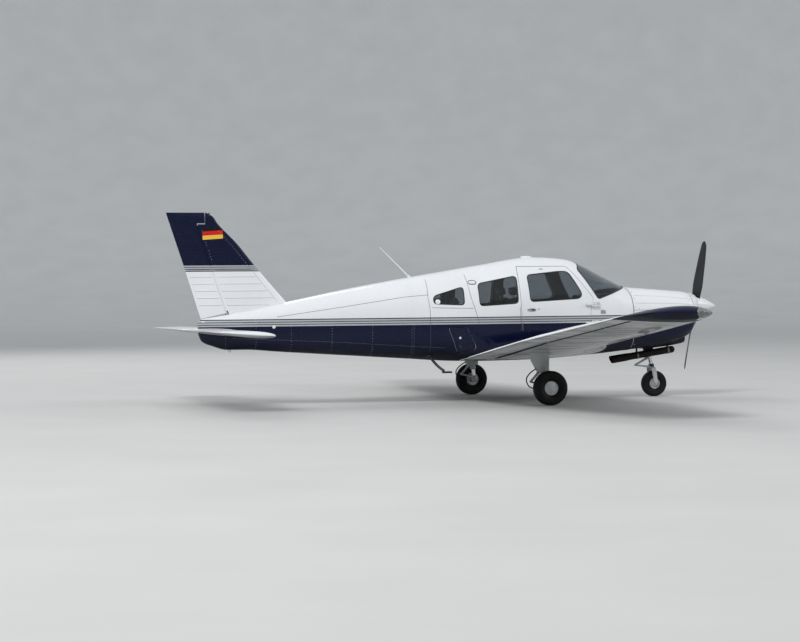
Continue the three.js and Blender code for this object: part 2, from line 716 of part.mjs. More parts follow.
function centredBox([x0, x1, half, z0, z1]) {
  return box(x0, x1, -half, half, z0, z1);
}

function buildCowl() {
  const inside = skin(moved(COWL_SECTIONS, 5), COWL_REAR - 5, BOWL_REAR + 5, COWL_WALL);
  const shell = skin(COWL_SECTIONS, COWL_REAR, BOWL_REAR - SEAT_GAP).subtract(inside);
  const scoop = loft(SCOOP_SECTIONS.map((s) => scoopRing(s, 0))).subtract(inside);
  const lower = shell
    .intersect(box(1000, 3000, -900, 900, 0, SPLIT_HEIGHT))
    .add(scoop.subtract(centredBox(SCOOP_MOUTH)))
    .subtract(centredBox(COWL_OUTLET))
    .subtract(centredBox(STRUT_HOLE));
  add('cowl_upper', shell.intersect(box(1000, 3000, -900, 900, SPLIT_HEIGHT + SEAT_GAP, 2000)), 'white');
  add('cowl_lower', lower, 'navy');
  const plate = loft([0, FIREWALL_THICK].map((step) => {
    return bodyRing([FIREWALL_X + step, ...sectionAt(CABIN_SECTIONS, FIREWALL_X).slice(1)], 2);
  }));
  add('firewall', plate, 'steel');
}

function buildBowl() {
  const outer = skin(COWL_SECTIONS, BOWL_REAR, BOWL_FACE);
  const inner = skin(moved(COWL_SECTIONS, 5), BOWL_REAR - 5, BOWL_FACE - 48, BOWL_WALL);
  const hole = inletHole(eased(INLET, 28));
  const crankHole = rod([BOWL_FACE - 100, 0, THRUST_HEIGHT], [BOWL_FACE + 100, 0, THRUST_HEIGHT], CRANK_HOLE, CRANK_HOLE, 24);
  const bowl = outer.subtract(inner).subtract(crankHole);
  add('nose_bowl', bowl.subtract(hole).subtract(mirrored(hole)), 'white');
}

// An outline of [y, z] points cut from behind the bowl forwards
function inletHole(outline) {
  const shape = new THREE.Shape(outline.map(([y, z]) => new THREE.Vector2(y, z)));
  const g = new THREE.ExtrudeGeometry(shape, { depth: 300, bevelEnabled: false });
  const basis = new THREE.Matrix4().makeBasis(
    new THREE.Vector3(0, 1, 0), new THREE.Vector3(0, 0, 1), new THREE.Vector3(1, 0, 0));
  g.applyMatrix4(basis);
  g.translate(BOWL_REAR + 40, 0, 0);
  return toSolid(g);
}

const ENGINE = { rear: 1780, front: 2290, half: 330, low: 900, high: 1270 };
const ENGINE_MOUNT = { radius: 22, inset: 60, foot: 250, head: 200 };
const CRANK_RADIUS = 60;
const PROP_REAR = 2545;
const EXHAUST = { front: [2185, -150, 612], rear: [1310, -150, 486], radius: 45, bore: 39, deep: 190 };
// Exhaust hangers: station, foot, head
const HANGERS = [[2130, 620, 740], [1700, 560, 680]];

function buildEngine() {
  const shaft = [[ENGINE.front - 20, 0, THRUST_HEIGHT], [PROP_REAR - SEAT_GAP, 0, THRUST_HEIGHT]];
  let block = box(ENGINE.rear, ENGINE.front, -ENGINE.half, ENGINE.half, ENGINE.low, ENGINE.high)
    .add(rod(...shaft, CRANK_RADIUS, CRANK_RADIUS, 24));
  for (const side of [-1, 1]) {
    for (const z of [ENGINE.low + ENGINE_MOUNT.inset, ENGINE.high - ENGINE_MOUNT.inset]) {
      const foot = [COWL_REAR, side * ENGINE_MOUNT.foot, z];
      block = block.add(rod(foot, [ENGINE.rear + 20, side * ENGINE_MOUNT.head, z], ENGINE_MOUNT.radius));
    }
  }
  add('engine_block', block.subtract(box(1400, COWL_REAR, -500, 500, 500, 1500)), 'steel');
}

function buildExhaust() {
  const { front, rear, radius, bore, deep } = EXHAUST;
  const nose = new THREE.SphereGeometry(radius, 16, 6);
  nose.translate(...front);
  const length = front[0] - rear[0];
  const along = (t) => rear.map((value, k) => lerp(value, front[k], t / length));
  let pipe = rod(front, rear, radius, radius, 16).add(toSolid(nose));
  pipe = pipe.subtract(rod(along(deep), along(-deep), bore, bore, 16));
  for (const [x, low, high] of HANGERS) pipe = pipe.add(rod([x, front[1], low], [x, front[1], high], 16));
  const cowl = skin(COWL_SECTIONS, COWL_REAR, BOWL_REAR, -SEAT_GAP)
    .add(loft(SCOOP_SECTIONS.map((s) => scoopRing(s, -SEAT_GAP))));
  add('exhaust', pipe.subtract(cowl), 'soot');
}

// Propeller, parked with its upper tip leaning to the right wing
const PROP_RADIUS = 905;
const PROP_PLANE = 2585;
const PROP_LEAN = 22;
const SPINNER_RADIUS = 172;
const SPINNER_BULGE = 0.67;
const SPINNER_ROOM = { radius: 85, depth: 90 };
const HUB_FRONT = PROP_REAR + SPINNER_ROOM.depth - SEAT_GAP - PROP_PLANE;
const PROP_HUB = { radius: 75, behind: 38, ahead: HUB_FRONT };
const SPINNER_SLOT = { along: 92, across: 136, length: 140, place: 135 };
// radius, chord, thickness, pitch in degrees
const BLADE_SECTIONS = [
  [30, 90, 60, 50],
  [170, 120, 40, 42],
  [320, 148, 24, 32],
  [560, 140, 15, 23],
  [790, 112, 10, 17],
  [880, 86, 8, 15],
  [PROP_RADIUS, 44, 6, 15],
];
const BLADE_POINTS = 10;

function bladeRing([radius, chord, thickness, pitch]) {
  const ring = [];
  for (let i = 0; i < BLADE_POINTS; i++) {
    const t = (i / BLADE_POINTS) * Math.PI * 2;
    const across = (Math.cos(t) * chord) / 2;
    const deep = (Math.sin(t) * thickness) / 2;
    const x = across * Math.sin(rad(pitch)) + deep * Math.cos(rad(pitch));
    const y = across * Math.cos(rad(pitch)) - deep * Math.sin(rad(pitch));
    ring.push(new THREE.Vector3(x, -y, radius));
  }
  return ring;
}

// Turns an upright blade-frame geometry to each blade's place
function atBlades(geometry) {
  return [PROP_LEAN, PROP_LEAN + 180].map((turn) => {
    const g = geometry.clone();
    g.rotateX(rad(turn));
    g.translate(PROP_PLANE, 0, THRUST_HEIGHT);
    return toSolid(g);
  });
}

function buildPropeller() {
  const { radius, behind, ahead } = PROP_HUB;
  const hubProfile = [[0, -behind], [radius, -behind], [radius, ahead], [0, ahead]];
  let blades = turned(hubProfile, [PROP_PLANE, 0, THRUST_HEIGHT], 'x', 24);
  for (const blade of atBlades(toGeometry(loft(BLADE_SECTIONS.map(bladeRing))))) blades = blades.add(blade);
  add('propeller_blades', blades, 'black');
}

function buildSpinner() {
  const length = SPINNER_TIP - PROP_REAR;
  const profile = [[0, 0]];
  for (let i = 0; i <= 8; i++) {
    const t = i / 8;
    profile.push([SPINNER_RADIUS * (1 - t) ** SPINNER_BULGE, length * t]);
  }
  const centre = [PROP_REAR, 0, THRUST_HEIGHT];
  const { radius, depth } = SPINNER_ROOM;
  const room = turned([[0, -1], [radius, -1], [radius, depth], [0, depth]], centre, 'x', 24);
  let spinner = turned(profile, centre, 'x', 32).subtract(room);
  const slot = new THREE.BoxGeometry(SPINNER_SLOT.along, SPINNER_SLOT.across, SPINNER_SLOT.length);
  slot.translate(0, 0, SPINNER_SLOT.place);
  for (const cut of atBlades(slot)) spinner = spinner.subtract(cut);
  add('spinner', spinner, 'white');
}

// Landing gear
const HALF_TREAD = 1524;
const NOSE_AXLE = 2000;
const MAIN_TYRE = { radius: 210, width: 150, bead: 88 };
const NOSE_TYRE = { radius: 167.5, width: 120, bead: 72 };
const WHEEL_SIDES = 36;

function tyre({ radius, width, bead }, centre) {
  const half = width / 2;
  const side = (radius + bead) / 2;
  const profile = [
    [bead, -half * 0.55], [side, -half], [radius - 22, -half * 0.9], [radius, -half * 0.42],
    [radius, half * 0.42], [radius - 22, half * 0.9], [side, half], [bead, half * 0.55], [bead, -half * 0.55],
  ];
  return turned(profile, centre, 'y', WHEEL_SIDES);
}

function hub({ width, bead }, axle, centre) {
  const half = width * 0.3;
  const r = bead - SEAT_GAP;
  const bore = axle + SEAT_GAP;
  const profile = [
    [bore, -half - 6], [r - 20, -half - 6], [r, -half + 6], [r, half - 6], [r - 20, half + 6],
    [bore, half + 6], [bore, -half - 6],
  ];
  return turned(profile, centre, 'y', WHEEL_SIDES);
}

// Main leg: its fairing, oleo, torque link and brake hose, hanging inboard of the wheel
const LEG_INBOARD = 155;
const MAIN_AXLE = 22;
// height, station, half length along the aircraft, half thickness
const FAIRING_SECTIONS = [
  [760, -66, 135, 70],
  [628, -66, 134, 68],
  [612, -75, 121, 58],
  [545, -76, 120, 56],
  [403, -36, 80, 46],
];
// Struts of the leg as [station, height] ends and radius
const LEG_STRUTS = [
  [[-38, 460], [-12, 222], 26],
  [[-12, 228], [0, 210], 34],
  [[-85, 425], [-197, 284], 13],
  [[-197, 284], [-20, 232], 13],
];
const BRAKE_HOSE = [[-112, 440], [-215, 385], [-258, 295], [-190, 205], [-20, 205]];

function fairingRing([z, station, long, thick]) {
  const ring = [];
  for (let i = 0; i < 16; i++) {
    const t = (i / 16) * Math.PI * 2;
    const y = HALF_TREAD - LEG_INBOARD + Math.sin(t) * thick;
    ring.push(new THREE.Vector3(station + Math.cos(t) * long, y, z));
  }
  return ring;
}

function mainLeg(wing) {
  const z = MAIN_TYRE.radius;
  const legY = HALF_TREAD - LEG_INBOARD;
  let leg = loft(FAIRING_SECTIONS.map(fairingRing));
  for (const [[x0, z0], [x1, z1], radius] of LEG_STRUTS) {
    leg = leg.add(rod([x0, legY, z0], [x1, legY, z1], radius));
  }
  leg = leg.add(rod([0, legY - 26, z], [0, legY + 52, z], 34, 34, 16));
  leg = leg.add(rod([0, legY, z], [0, HALF_TREAD + 50, z], MAIN_AXLE, MAIN_AXLE, 16));
  leg = leg.add(tube(BRAKE_HOSE.map(([x, h]) => [x, legY, h]), 5, 4, 12));
  const lowered = toSolid(toGeometry(wing).translate(0, 0, -SEAT_GAP));
  return leg.subtract(wing).subtract(lowered);
}

function buildMainGear(wing) {
  const centre = [0, HALF_TREAD, MAIN_TYRE.radius];
  const parts = {
    main_leg: [mainLeg(wing), 'grey'],
    main_tyre: [tyre(MAIN_TYRE, centre), 'rubber'],
    main_hub: [hub(MAIN_TYRE, MAIN_AXLE, centre), 'alloy'],
  };
  for (const [name, [solid, look]] of Object.entries(parts)) {
    add(`${name}_left`, solid, look);
    add(`${name}_right`, mirrored(solid), look);
  }
}

// Nose leg: the strut is fixed to the engine block, the fork's stem turns in it
const STEER_FOOT = [1975, 360];
const STEER_HEAD = [1935, 560];
const STRUT_RADIUS = 38;
const STEM_RADIUS = 24;
const NOSE_AXLE_RADIUS = 14;
const FORK = { half: 96, legs: 84, crownRear: 1925, crownFront: 2015, crownLow: 352, crownHigh: 392 };
const STEER_LINK = [[1945, 378], [1740, 410], [1935, 515]];

function alongStrut(z) {
  const lean = (STEER_FOOT[0] - STEER_HEAD[0]) / (STEER_FOOT[1] - STEER_HEAD[1]);
  return [STEER_HEAD[0] + (z - STEER_HEAD[1]) * lean, 0, z];
}

function buildNoseStrut() {
  const head = ENGINE.low - SEAT_GAP;
  const strut = rod(alongStrut(540), alongStrut(head), STRUT_RADIUS, STRUT_RADIUS, 20)
    .add(rod(alongStrut(560), alongStrut(640), 58, 70, 20))
    .subtract(socket(alongStrut(500), alongStrut(700), STEM_RADIUS, 24))
    .subtract(box(1800, 2100, -100, 100, head, 1000));
  add('nose_strut', strut, 'navy');
}

function buildNoseGear() {
  const z = NOSE_TYRE.radius;
  let fork = rod(alongStrut(390), alongStrut(698), STEM_RADIUS, STEM_RADIUS, 24);
  fork = fork.add(box(FORK.crownRear, FORK.crownFront, -FORK.half, FORK.half, FORK.crownLow, FORK.crownHigh));
  for (const y of [-FORK.legs, FORK.legs]) fork = fork.add(rod([1970, y, 366], [NOSE_AXLE, y, z], 17, 15));
  fork = fork.add(rod([NOSE_AXLE, -104, z], [NOSE_AXLE, 104, z], NOSE_AXLE_RADIUS, NOSE_AXLE_RADIUS, 16));
  const [low, middle, high] = STEER_LINK.map(([x, h]) => [x, 0, h]);
  fork = fork.add(rod(low, middle, 10, 10, 8)).add(rod(middle, high, 10, 10, 8));
  add('nose_fork', fork, 'alloy');
  const centre = [NOSE_AXLE, 0, z];
  add('nose_tyre', tyre(NOSE_TYRE, centre), 'rubber');
  add('nose_hub', hub(NOSE_TYRE, NOSE_AXLE_RADIUS, centre), 'alloy');
}

// Cabin interior: side views as [station, height] and half widths
const SEAT_SIDE = [
  [600, 500], [640, 830], [620, 905], [180, 880], [20, 1450], [-70, 1450],
  [60, 830], [110, 500],
];
const SEAT_HALF = 215;
const SEAT_CENTRE = 258;
const BENCH_SIDE = [[-260, 500], [-240, 880], [-680, 850], [-790, 1330], [-880, 1330], [-800, 500]];
const BENCH_HALF = 470;
const PANEL_SIDE = [[1000, 1000], [1060, 1330], [1300, 1350], [1240, 1000]];
const YOKE = { rear: 850, front: 872, half: 120, low: 1092, bar: 1118, horn: 1180, horns: 24, shaft: 12 };

function buildInterior() {
  const room = skin(CABIN_SECTIONS, FIREWALL_X - SEAT_GAP, CABIN_REAR + WALL, WALL + SEAT_GAP);
  for (const [name, y] of [['left', SEAT_CENTRE], ['right', -SEAT_CENTRE]]) {
    const seat = prism(SEAT_SIDE, 'y', y - SEAT_HALF, y + SEAT_HALF);
    add(`seat_front_${name}`, seat.intersect(room), 'leather');
  }
  add('seat_rear', prism(BENCH_SIDE, 'y', -BENCH_HALF, BENCH_HALF).intersect(room), 'leather');
  let panel = prism(PANEL_SIDE, 'y', -600, 600).intersect(room);
  for (const y of [SEAT_CENTRE, -SEAT_CENTRE]) panel = panel.add(yoke(y));
  add('instrument_panel', panel, 'black');
}

function yoke(y) {
  const { rear, front, half, low, bar, horn, horns, shaft } = YOKE;
  const middle = (low + bar) / 2;
  return box(rear, front, y - half, y + half, low, bar)
    .add(rod([rear + 10, y, middle], [1100, y, middle], shaft))
    .add(box(rear, front, y - half - horns / 2, y - half + horns / 2, low, horn))
    .add(box(rear, front, y + half - horns / 2, y + half + horns / 2, low, horn));
}

const WHIP = { foot: [-1300, 0, 1560], tip: [-1700, 0, 1952], base: [[-1290, 0, 1550], [-1330, 0, 1590]] };
const STEP_ARM = [[-1180, -330, 605], [-1110, -470, 480], [-1040, -550, 405]];
const STEP_PLATE = [-1060, -940, -585, -515, 375, 400];

function buildSmallParts() {
  const over = skin(CABIN_SECTIONS, FIREWALL_X, CABIN_REAR, -SEAT_GAP);
  const whip = rod(WHIP.foot, WHIP.tip, 6, 3, 8).add(rod(...WHIP.base, 16, 12, 10));
  add('antenna', whip.subtract(over), 'white');
  const step = tube(STEP_ARM, 13, 8, 6).add(box(...STEP_PLATE));
  add('boarding_step', step.subtract(over), 'grey');
}

const { shell, door, hatch } = buildCabin();
for (const [name, solid] of Object.entries(pressings(shell))) add(name, solid, 'white');
add('cabin_door', door, 'white');
add('baggage_door', hatch, 'navy');
add('windshield', glassPane(WINDSHIELD, -800, 800), 'glass');
add('window_door', glassPane(eased(FRONT_WINDOW, CORNER.window), ...RIGHT), 'glass');
add('window_front_left', glassPane(eased(FRONT_WINDOW, CORNER.window), ...LEFT), 'glass');
for (const [side, reach] of [['left', LEFT], ['right', RIGHT]]) {
  add(`window_middle_${side}`, glassPane(eased(MIDDLE_WINDOW, CORNER.window), ...reach), 'glass');
  add(`window_rear_${side}`, glassPane(eased(REAR_WINDOW, CORNER.window), ...reach), 'glass');
}
const wing = buildWings();
buildTailCone([buildTail(), buildStabilator()]);
buildCowl();
buildBowl();
buildEngine();
buildExhaust();
buildPropeller();
buildSpinner();
buildMainGear(wing);
buildNoseStrut();
buildNoseGear();
buildInterior();
buildSmallParts();

export default aircraft;
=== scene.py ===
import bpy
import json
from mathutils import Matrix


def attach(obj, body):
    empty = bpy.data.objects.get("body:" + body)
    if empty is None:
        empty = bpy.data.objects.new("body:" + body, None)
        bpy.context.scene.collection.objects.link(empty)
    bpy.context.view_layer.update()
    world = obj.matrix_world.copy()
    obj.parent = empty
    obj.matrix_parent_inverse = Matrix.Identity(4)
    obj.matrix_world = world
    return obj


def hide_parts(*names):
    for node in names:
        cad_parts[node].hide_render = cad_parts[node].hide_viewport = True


bl_info = {
    "name": "Light Aircraft",
    "version": (1, 0, 0),
    "blender": (4, 5, 0),
    "location": "3D View > Sidebar > Aircraft",
    "description": "Builds a four-seat low-wing light aircraft with fixed gear",
    "category": "Add Mesh",
}

import json
import math

import bmesh
import bpy
import numpy as np
from mathutils import Matrix, Vector

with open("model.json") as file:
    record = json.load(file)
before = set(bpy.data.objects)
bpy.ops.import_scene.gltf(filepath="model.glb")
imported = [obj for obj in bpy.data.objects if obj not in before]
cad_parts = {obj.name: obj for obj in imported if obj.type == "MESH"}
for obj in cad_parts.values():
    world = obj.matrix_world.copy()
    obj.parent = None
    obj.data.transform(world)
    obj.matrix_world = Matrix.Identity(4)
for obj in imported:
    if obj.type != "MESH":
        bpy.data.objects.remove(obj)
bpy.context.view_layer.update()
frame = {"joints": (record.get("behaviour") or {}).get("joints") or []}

# Places are in metres from the main wheel axle: +X to the nose, +Y to the left wing tip, +Z up
X, Y, Z = Vector((1, 0, 0)), Vector((0, 1, 0)), Vector((0, 0, 1))


def joint_point(name):
    return Vector(next(joint["pos_m"] for joint in frame["joints"] if joint["name"] == name))


AXLE_X = joint_point("main_wheel_left_roll").x


def from_axle(name):
    """A joint's point from the main wheel axle."""
    return joint_point(name) - AXLE_X * X


# Fuselage rows: station, top, bottom, half width, widest height
BODY = [
    (1.519, 1.429, 0.61, 0.505, 1.01), (1.36, 1.507, 0.594, 0.524, 1.008),
    (1.2, 1.586, 0.578, 0.54, 1.005), (0.871, 1.747, 0.553, 0.555, 1.0),
    (0.718, 1.792, 0.54, 0.56, 1.0), (0.315, 1.817, 0.518, 0.562, 1.0),
    (-0.372, 1.724, 0.507, 0.552, 1.0), (-0.8, 1.656, 0.514, 0.524, 1.0),
    (-1.4, 1.56, 0.553, 0.44, 1.01), (-2.046, 1.449, 0.597, 0.345, 1.0),
    (-3.026, 1.254, 0.665, 0.205, 0.95), (-3.444, 1.17, 0.696, 0.145, 0.93),
    (-3.666, 1.128, 0.697, 0.112, 0.915), (-3.848, 1.097, 0.746, 0.08, 0.92),
    (-3.98, 1.074, 0.806, 0.05, 0.935), (-4.02, 1.05, 0.888, 0.026, 0.965),
]
COWL = [
    (2.532, 1.312, 1.036, 0.215, 1.15), (2.512, 1.33, 1.0, 0.29, 1.145),
    (2.472, 1.344, 0.935, 0.355, 1.13), (2.42, 1.354, 0.858, 0.402, 1.11),
    (2.36, 1.363, 0.785, 0.438, 1.09), (2.1, 1.385, 0.69, 0.472, 1.05),
    (1.771, 1.41, 0.64, 0.492, 1.02), (1.519, 1.429, 0.61, 0.505, 1.01),
]
ROUND_TOP, ROUND_BELLY = 2.6, 3.8
FIREWALL, COWL_REAR, BOWL_REAR, BOWL_FACE = 1.519, 1.5303, 2.38, 2.532
CABIN_REAR, TAIL_END = -1.4, -4.02
WALL, SPLIT, SEAT, PANEL_GAP = 0.04, 1.13, 0.0003, 0.005

# Openings as (station, height), and the corner radii of what fills them
WINDSHIELD = [(1.501, 1.436), (1.03, 1.278), (0.8, 1.655), (0.858, 1.739), (0.95, 1.9), (1.72, 1.62)]
FRONT_WINDOW = [(0.087, 1.591), (0.106, 1.246), (0.773, 1.281), (0.815, 1.342), (0.655, 1.634), (0.526, 1.636)]
MIDDLE_WINDOW = [(-0.566, 1.486), (-0.558, 1.2), (-0.047, 1.229), (-0.045, 1.584)]
REAR_WINDOW = [(-1.139, 1.336), (-1.142, 1.232), (-0.745, 1.213), (-0.747, 1.454)]
DOOR = [(-0.2, 1.7), (0.655, 1.7), (0.965, 1.29), (0.944, 1.225), (0.888, 0.95), (0.884, 0.88), (-0.2, 0.88)]
HATCH = [(-0.972, 0.952), (-0.728, 0.945), (-0.588, 0.668), (-0.838, 0.612)]
SHIELD_CORNER, CORNER = 0.03, 0.055
RIGHT, LEFT, ACROSS = (-0.7, -0.15), (0.15, 0.7), (-0.8, 0.8)
WINDOWS = (
    ("door", FRONT_WINDOW, RIGHT), ("front_left", FRONT_WINDOW, LEFT), ("middle_left", MIDDLE_WINDOW, LEFT),
    ("middle_right", MIDDLE_WINDOW, RIGHT), ("rear_left", REAR_WINDOW, LEFT), ("rear_right", REAR_WINDOW, RIGHT),
)
DOOR_HINGE = from_axle("cabin_door_swing")
HINGE_HEIGHTS = (0.975, 1.215)
# The door's rear edge lies on a cone about the hinge line: height, station and half width at two points
DOOR_REAR = [(0.85, 0.004, 0.552), (1.74, 0.013, 0.27)]

# Wing rows: span from the root, leading edge, trailing edge, incidence in degrees, thickness
WING_ROOT = Vector((0, 0.6, 0.546))
DIHEDRAL = math.radians(7)
CAMBER, CAMBER_PLACE = 0.02, 0.4
WING = [
    (-0.16, 1.19, -0.805, 4.5, 0.125), (0.06, 1.05, -0.805, 4.5, 0.13), (0.5, 0.806, -0.805, 4.5, 0.15),
    (2.112, 0.795, -0.805, 4.3, 0.15), (4.44, 0.478, -0.598, 1.3, 0.145), (4.6, 0.462, -0.592, 1.3, 0.145),
    (4.715, 0.43, -0.575, 1.3, 0.138), (4.77, 0.38, -0.56, 1.3, 0.115),
]
CONTROL_CHORD, CONTROL_GAP = 0.8, 0.007
FLAP_SPAN, AILERON_SPAN = (0.06, 2.09), (2.13, 4.38)
PIN_RADIUS = 0.009
TIP_LENS, LENS_CHORD = 4.572, 0.158

# Fin rows: height, leading edge, trailing edge
FIN = [
    (1.06, -2.72, -3.98), (1.751, -3.32, -4.198), (2.007, -3.528, -4.282),
    (2.251, -3.765, -4.362), (2.336, -3.824, -4.39), (2.385, -3.91, -4.404),
]
FIN_THICKNESS = 0.085
RUDDER_FOOT, RUDDER_HEAD = (1.133, -3.674), (2.251, -4.046)
RUDDER_LOW, RUDDER_GAP = 1.15, 0.011
HORN_FRONT, HORN_BOTTOM = -3.93, 2.252

STAB_NOSE, STAB_CHORD, STAB_THICKNESS = -3.484, 0.762, 0.1
STAB_ROOT, STAB_SPAN = 0.15, 1.98
STAB_PIVOT = from_axle("stabilator_turn")
STAB_REST = math.radians(4)
TAB_CHORD, TAB_HALF, TAB_NOSE = 0.84, 1.35, 0.013

THRUST = 1.17
PROP_REAR, PROP_PLANE, PROP_RADIUS = 2.545, 2.585, 0.905
PROP_LEAN = math.radians(22)
SPINNER_TIP, SPINNER_RADIUS, SPINNER_BULGE = 2.885, 0.172, 0.82

# Tyres: radius, width and radius at the bead
HALF_TREAD, LEG_Y = 1.524, 1.369
MAIN_TYRE, NOSE_TYRE = (0.21, 0.15, 0.088), (0.1675, 0.12, 0.072)
NOSE_AXLE = from_axle("nose_wheel_roll")


def measure(name, description, default, least):
    return bpy.props.FloatProperty(name=name, description=description, default=default, min=least, unit="LENGTH")


class AircraftSizes(bpy.types.PropertyGroup):
    """Sizes that a user may change."""

    rivet_pitch: measure("Rivet pitch", "Distance between rivets along a seam", 0.036, 0.01)
    rivet_head: measure("Rivet head", "Radius of a rivet's head", 0.0028, 0.001)
    seam_width: measure("Seam width", "Width of the lines between sheets", 0.0045, 0.001)
    seal_width: measure("Window seal width", "Width of the rubber round each window", 0.013, 0.002)
    bead_pitch: measure("Bead pitch", "Distance between the pressed beads of the tail and controls", 0.087, 0.03)
    bead_height: measure("Bead height", "How far a pressed bead stands out", 0.005, 0.0)
    groove_depth: measure("Tread groove", "Depth of the grooves around each tyre", 0.005, 0.0)


def tint(name, description, default):
    return bpy.props.FloatVectorProperty(
        name=name, description=description, default=default, size=3, min=0.0, max=1.0, subtype="COLOR")


class AircraftColours(bpy.types.PropertyGroup):
    """Colours that a user may change."""

    white: tint("White paint", "Upper fuselage, wings and lower fin", (0.8, 0.815, 0.83))
    navy: tint("Navy paint", "Lower fuselage, wing tips and upper fin", (0.0025, 0.005, 0.028))
    silver: tint("Light stripe", "Pale lines of the stripe", (0.46, 0.48, 0.5))
    dark: tint("Dark stripe", "Dark lines of the stripe", (0.035, 0.04, 0.055))
    gear: tint("Gear paint", "Main legs and nose fork", (0.47, 0.49, 0.5))
    leather: tint("Seat leather", "Seats and head rests", (0.14, 0.11, 0.09))
    liner: tint("Cabin liner", "Walls and ceiling of the cabin", (0.12, 0.115, 0.11))
    carpet: tint("Carpet", "Cabin floor", (0.035, 0.038, 0.048))
    blade: tint("Propeller", "Propeller blades", (0.016, 0.016, 0.018))


def sizes():
    return bpy.context.scene.aircraft_sizes


def colour(name):
    """One of the user's colours, with full opacity."""
    return (*getattr(bpy.context.scene.aircraft_colours, name), 1.0)


# Curves and rings of points


def interpolate(rows, at):
    """The rows' columns at given places, on smooth curves that never overshoot."""
    rows = np.array(sorted(rows), float)
    x, y = rows[:, 0], rows[:, 1:]
    step = np.diff(x)[:, None]
    slope = np.diff(y, axis=0) / step
    tangent = np.zeros_like(y)
    before, after = 2 * step[1:] + step[:-1], step[1:] + 2 * step[:-1]
    with np.errstate(divide="ignore", invalid="ignore"):
        mean = (before + after) / (before / slope[:-1] + after / slope[1:])
    tangent[1:-1] = np.where(slope[:-1] * slope[1:] > 0, mean, 0)
    tangent[0], tangent[-1] = slope[0], slope[-1]
    at = np.atleast_1d(np.asarray(at, float))
    i = np.clip(np.searchsorted(x, at) - 1, 0, len(x) - 2)
    h = step[i]
    t = np.clip((at - x[i])[:, None] / h, 0, 1)
    return (y[i] * (1 + 2 * t) * (1 - t) ** 2 + tangent[i] * h * t * (1 - t) ** 2
            + y[i + 1] * t * t * (3 - 2 * t) + tangent[i + 1] * h * t * t * (t - 1))


def straight(rows, at):
    """The rows' columns at one place, on straight lines."""
    rows = np.array(sorted(rows), float)
    return [float(np.interp(at, rows[:, 0], column)) for column in rows[:, 1:].T]


def turn_of(k, count):
    """Cosine and sine of the k-th of evenly spaced turns."""
    return math.cos(2 * math.pi * k / count), math.sin(2 * math.pi * k / count)


def eased(low, reach, count, first=0):
    """Places that draw closer together towards the reach's end."""
    return [low + reach * math.sin(math.pi / 2 * k / count) for k in range(first, count + 1)]


def even_arc(half, rise, power, count):
    """Evenly spaced points of half a super-ellipse, from +half to just before -half."""
    t = np.linspace(0, math.pi, 361)
    across = np.sign(np.cos(t)) * np.abs(np.cos(t)) ** (2 / power) * half
    up = np.abs(np.sin(t)) ** (2 / power) * rise
    along = np.concatenate([[0], np.cumsum(np.hypot(np.diff(across), np.diff(up)))])
    even = np.linspace(0, along[-1], count + 1)[:-1]
    return np.interp(even, along, across), np.interp(even, along, up)


def body_rings(rows, stations, inset=0.0, half_count=56):
    """Rings of the skin at the stations, moved inwards."""
    rings = []
    for x, (top, bottom, half, wide) in zip(stations, interpolate(rows, stations)):
        over = even_arc(half - inset, top - inset - wide, ROUND_TOP, half_count)
        under = even_arc(half - inset, wide - bottom - inset, ROUND_BELLY, half_count)
        y = np.concatenate([over[0], -under[0]])
        z = np.concatenate([wide + over[1], wide - under[1]])
        rings.append(np.stack([np.full_like(y, x), y, z], 1))
    return rings


def top_at(x):
    return interpolate(BODY, x)[0][0]


def side_at(x, z, rows=BODY):
    """Half width of the body at a station and height."""
    top, bottom, half, wide = interpolate(rows, x)[0]
    power = ROUND_TOP if z > wide else ROUND_BELLY
    rise = (z - wide) / (top - wide) if z > wide else (wide - z) / (wide - bottom)
    return half * max(0.0, 1 - min(rise, 1.0) ** power) ** (1 / power)


def on_side(x, z, side=-1, rows=BODY, step=0.004):
    """A point of the body's skin and the way out there."""
    here = Vector((x, side * side_at(x, z, rows), z))
    along = Vector((2 * step, side * (side_at(x + step, z, rows) - side_at(x - step, z, rows)), 0))
    up = Vector((0, side * (side_at(x, z + step, rows) - side_at(x, z - step, rows)), 2 * step))
    out = along.cross(up).normalized()
    return here, out if out.y * side > 0 else -out


def airfoil_half(u, thickness):
    return 5 * thickness * (
        0.2969 * math.sqrt(max(u, 0)) - 0.126 * u - 0.3516 * u**2 + 0.2843 * u**3 - 0.1015 * u**4)


def camber_line(u):
    p = CAMBER_PLACE
    if u < p:
        return CAMBER / p**2 * (2 * p * u - u * u)
    return CAMBER / (1 - p) ** 2 * (1 - 2 * p + 2 * p * u - u * u)


def rounded(outline, cut, steps=7):
    """An outline whose corners are curves that start a cut's length before them."""
    points = [Vector(p) for p in outline]
    result = []
    for i, corner in enumerate(points):
        ends = []
        for other in (points[i - 1], points[(i + 1) % len(points)]):
            length = (other - corner).length
            ends.append(corner.lerp(other, min(cut, 0.47 * length) / length))
        for t in (k / steps for k in range(steps + 1)):
            result.append(ends[0].lerp(corner, t).lerp(corner.lerp(ends[1], t), t))
    return [tuple(p) for p in result]


def box_outline(low, high, corner):
    """A rectangle between two corners, rounded."""
    (x0, y0), (x1, y1) = low, high
    return rounded([(x0, y0), (x1, y0), (x1, y1), (x0, y1)], corner)


def shrunk(outline, margin):
    """An outline moved inwards by a margin."""
    points = [Vector(p) for p in outline]
    pairs = list(zip(points, points[1:] + points[:1]))
    side = 1 if sum(a.x * b.y - b.x * a.y for a, b in pairs) > 0 else -1
    edges = []
    for a, b in pairs:
        way = (b - a).normalized()
        normal = Vector((-way.y, way.x)) * side
        edges.append((normal, normal.dot(a) + margin))
    result = []
    for (n0, d0), (n1, d1) in zip(edges[-1:] + edges[:-1], edges):
        det = n0.x * n1.y - n1.x * n0.y
        result.append(((d0 * n1.y - d1 * n0.y) / det, (n0.x * d1 - n1.x * d0) / det))
    return result


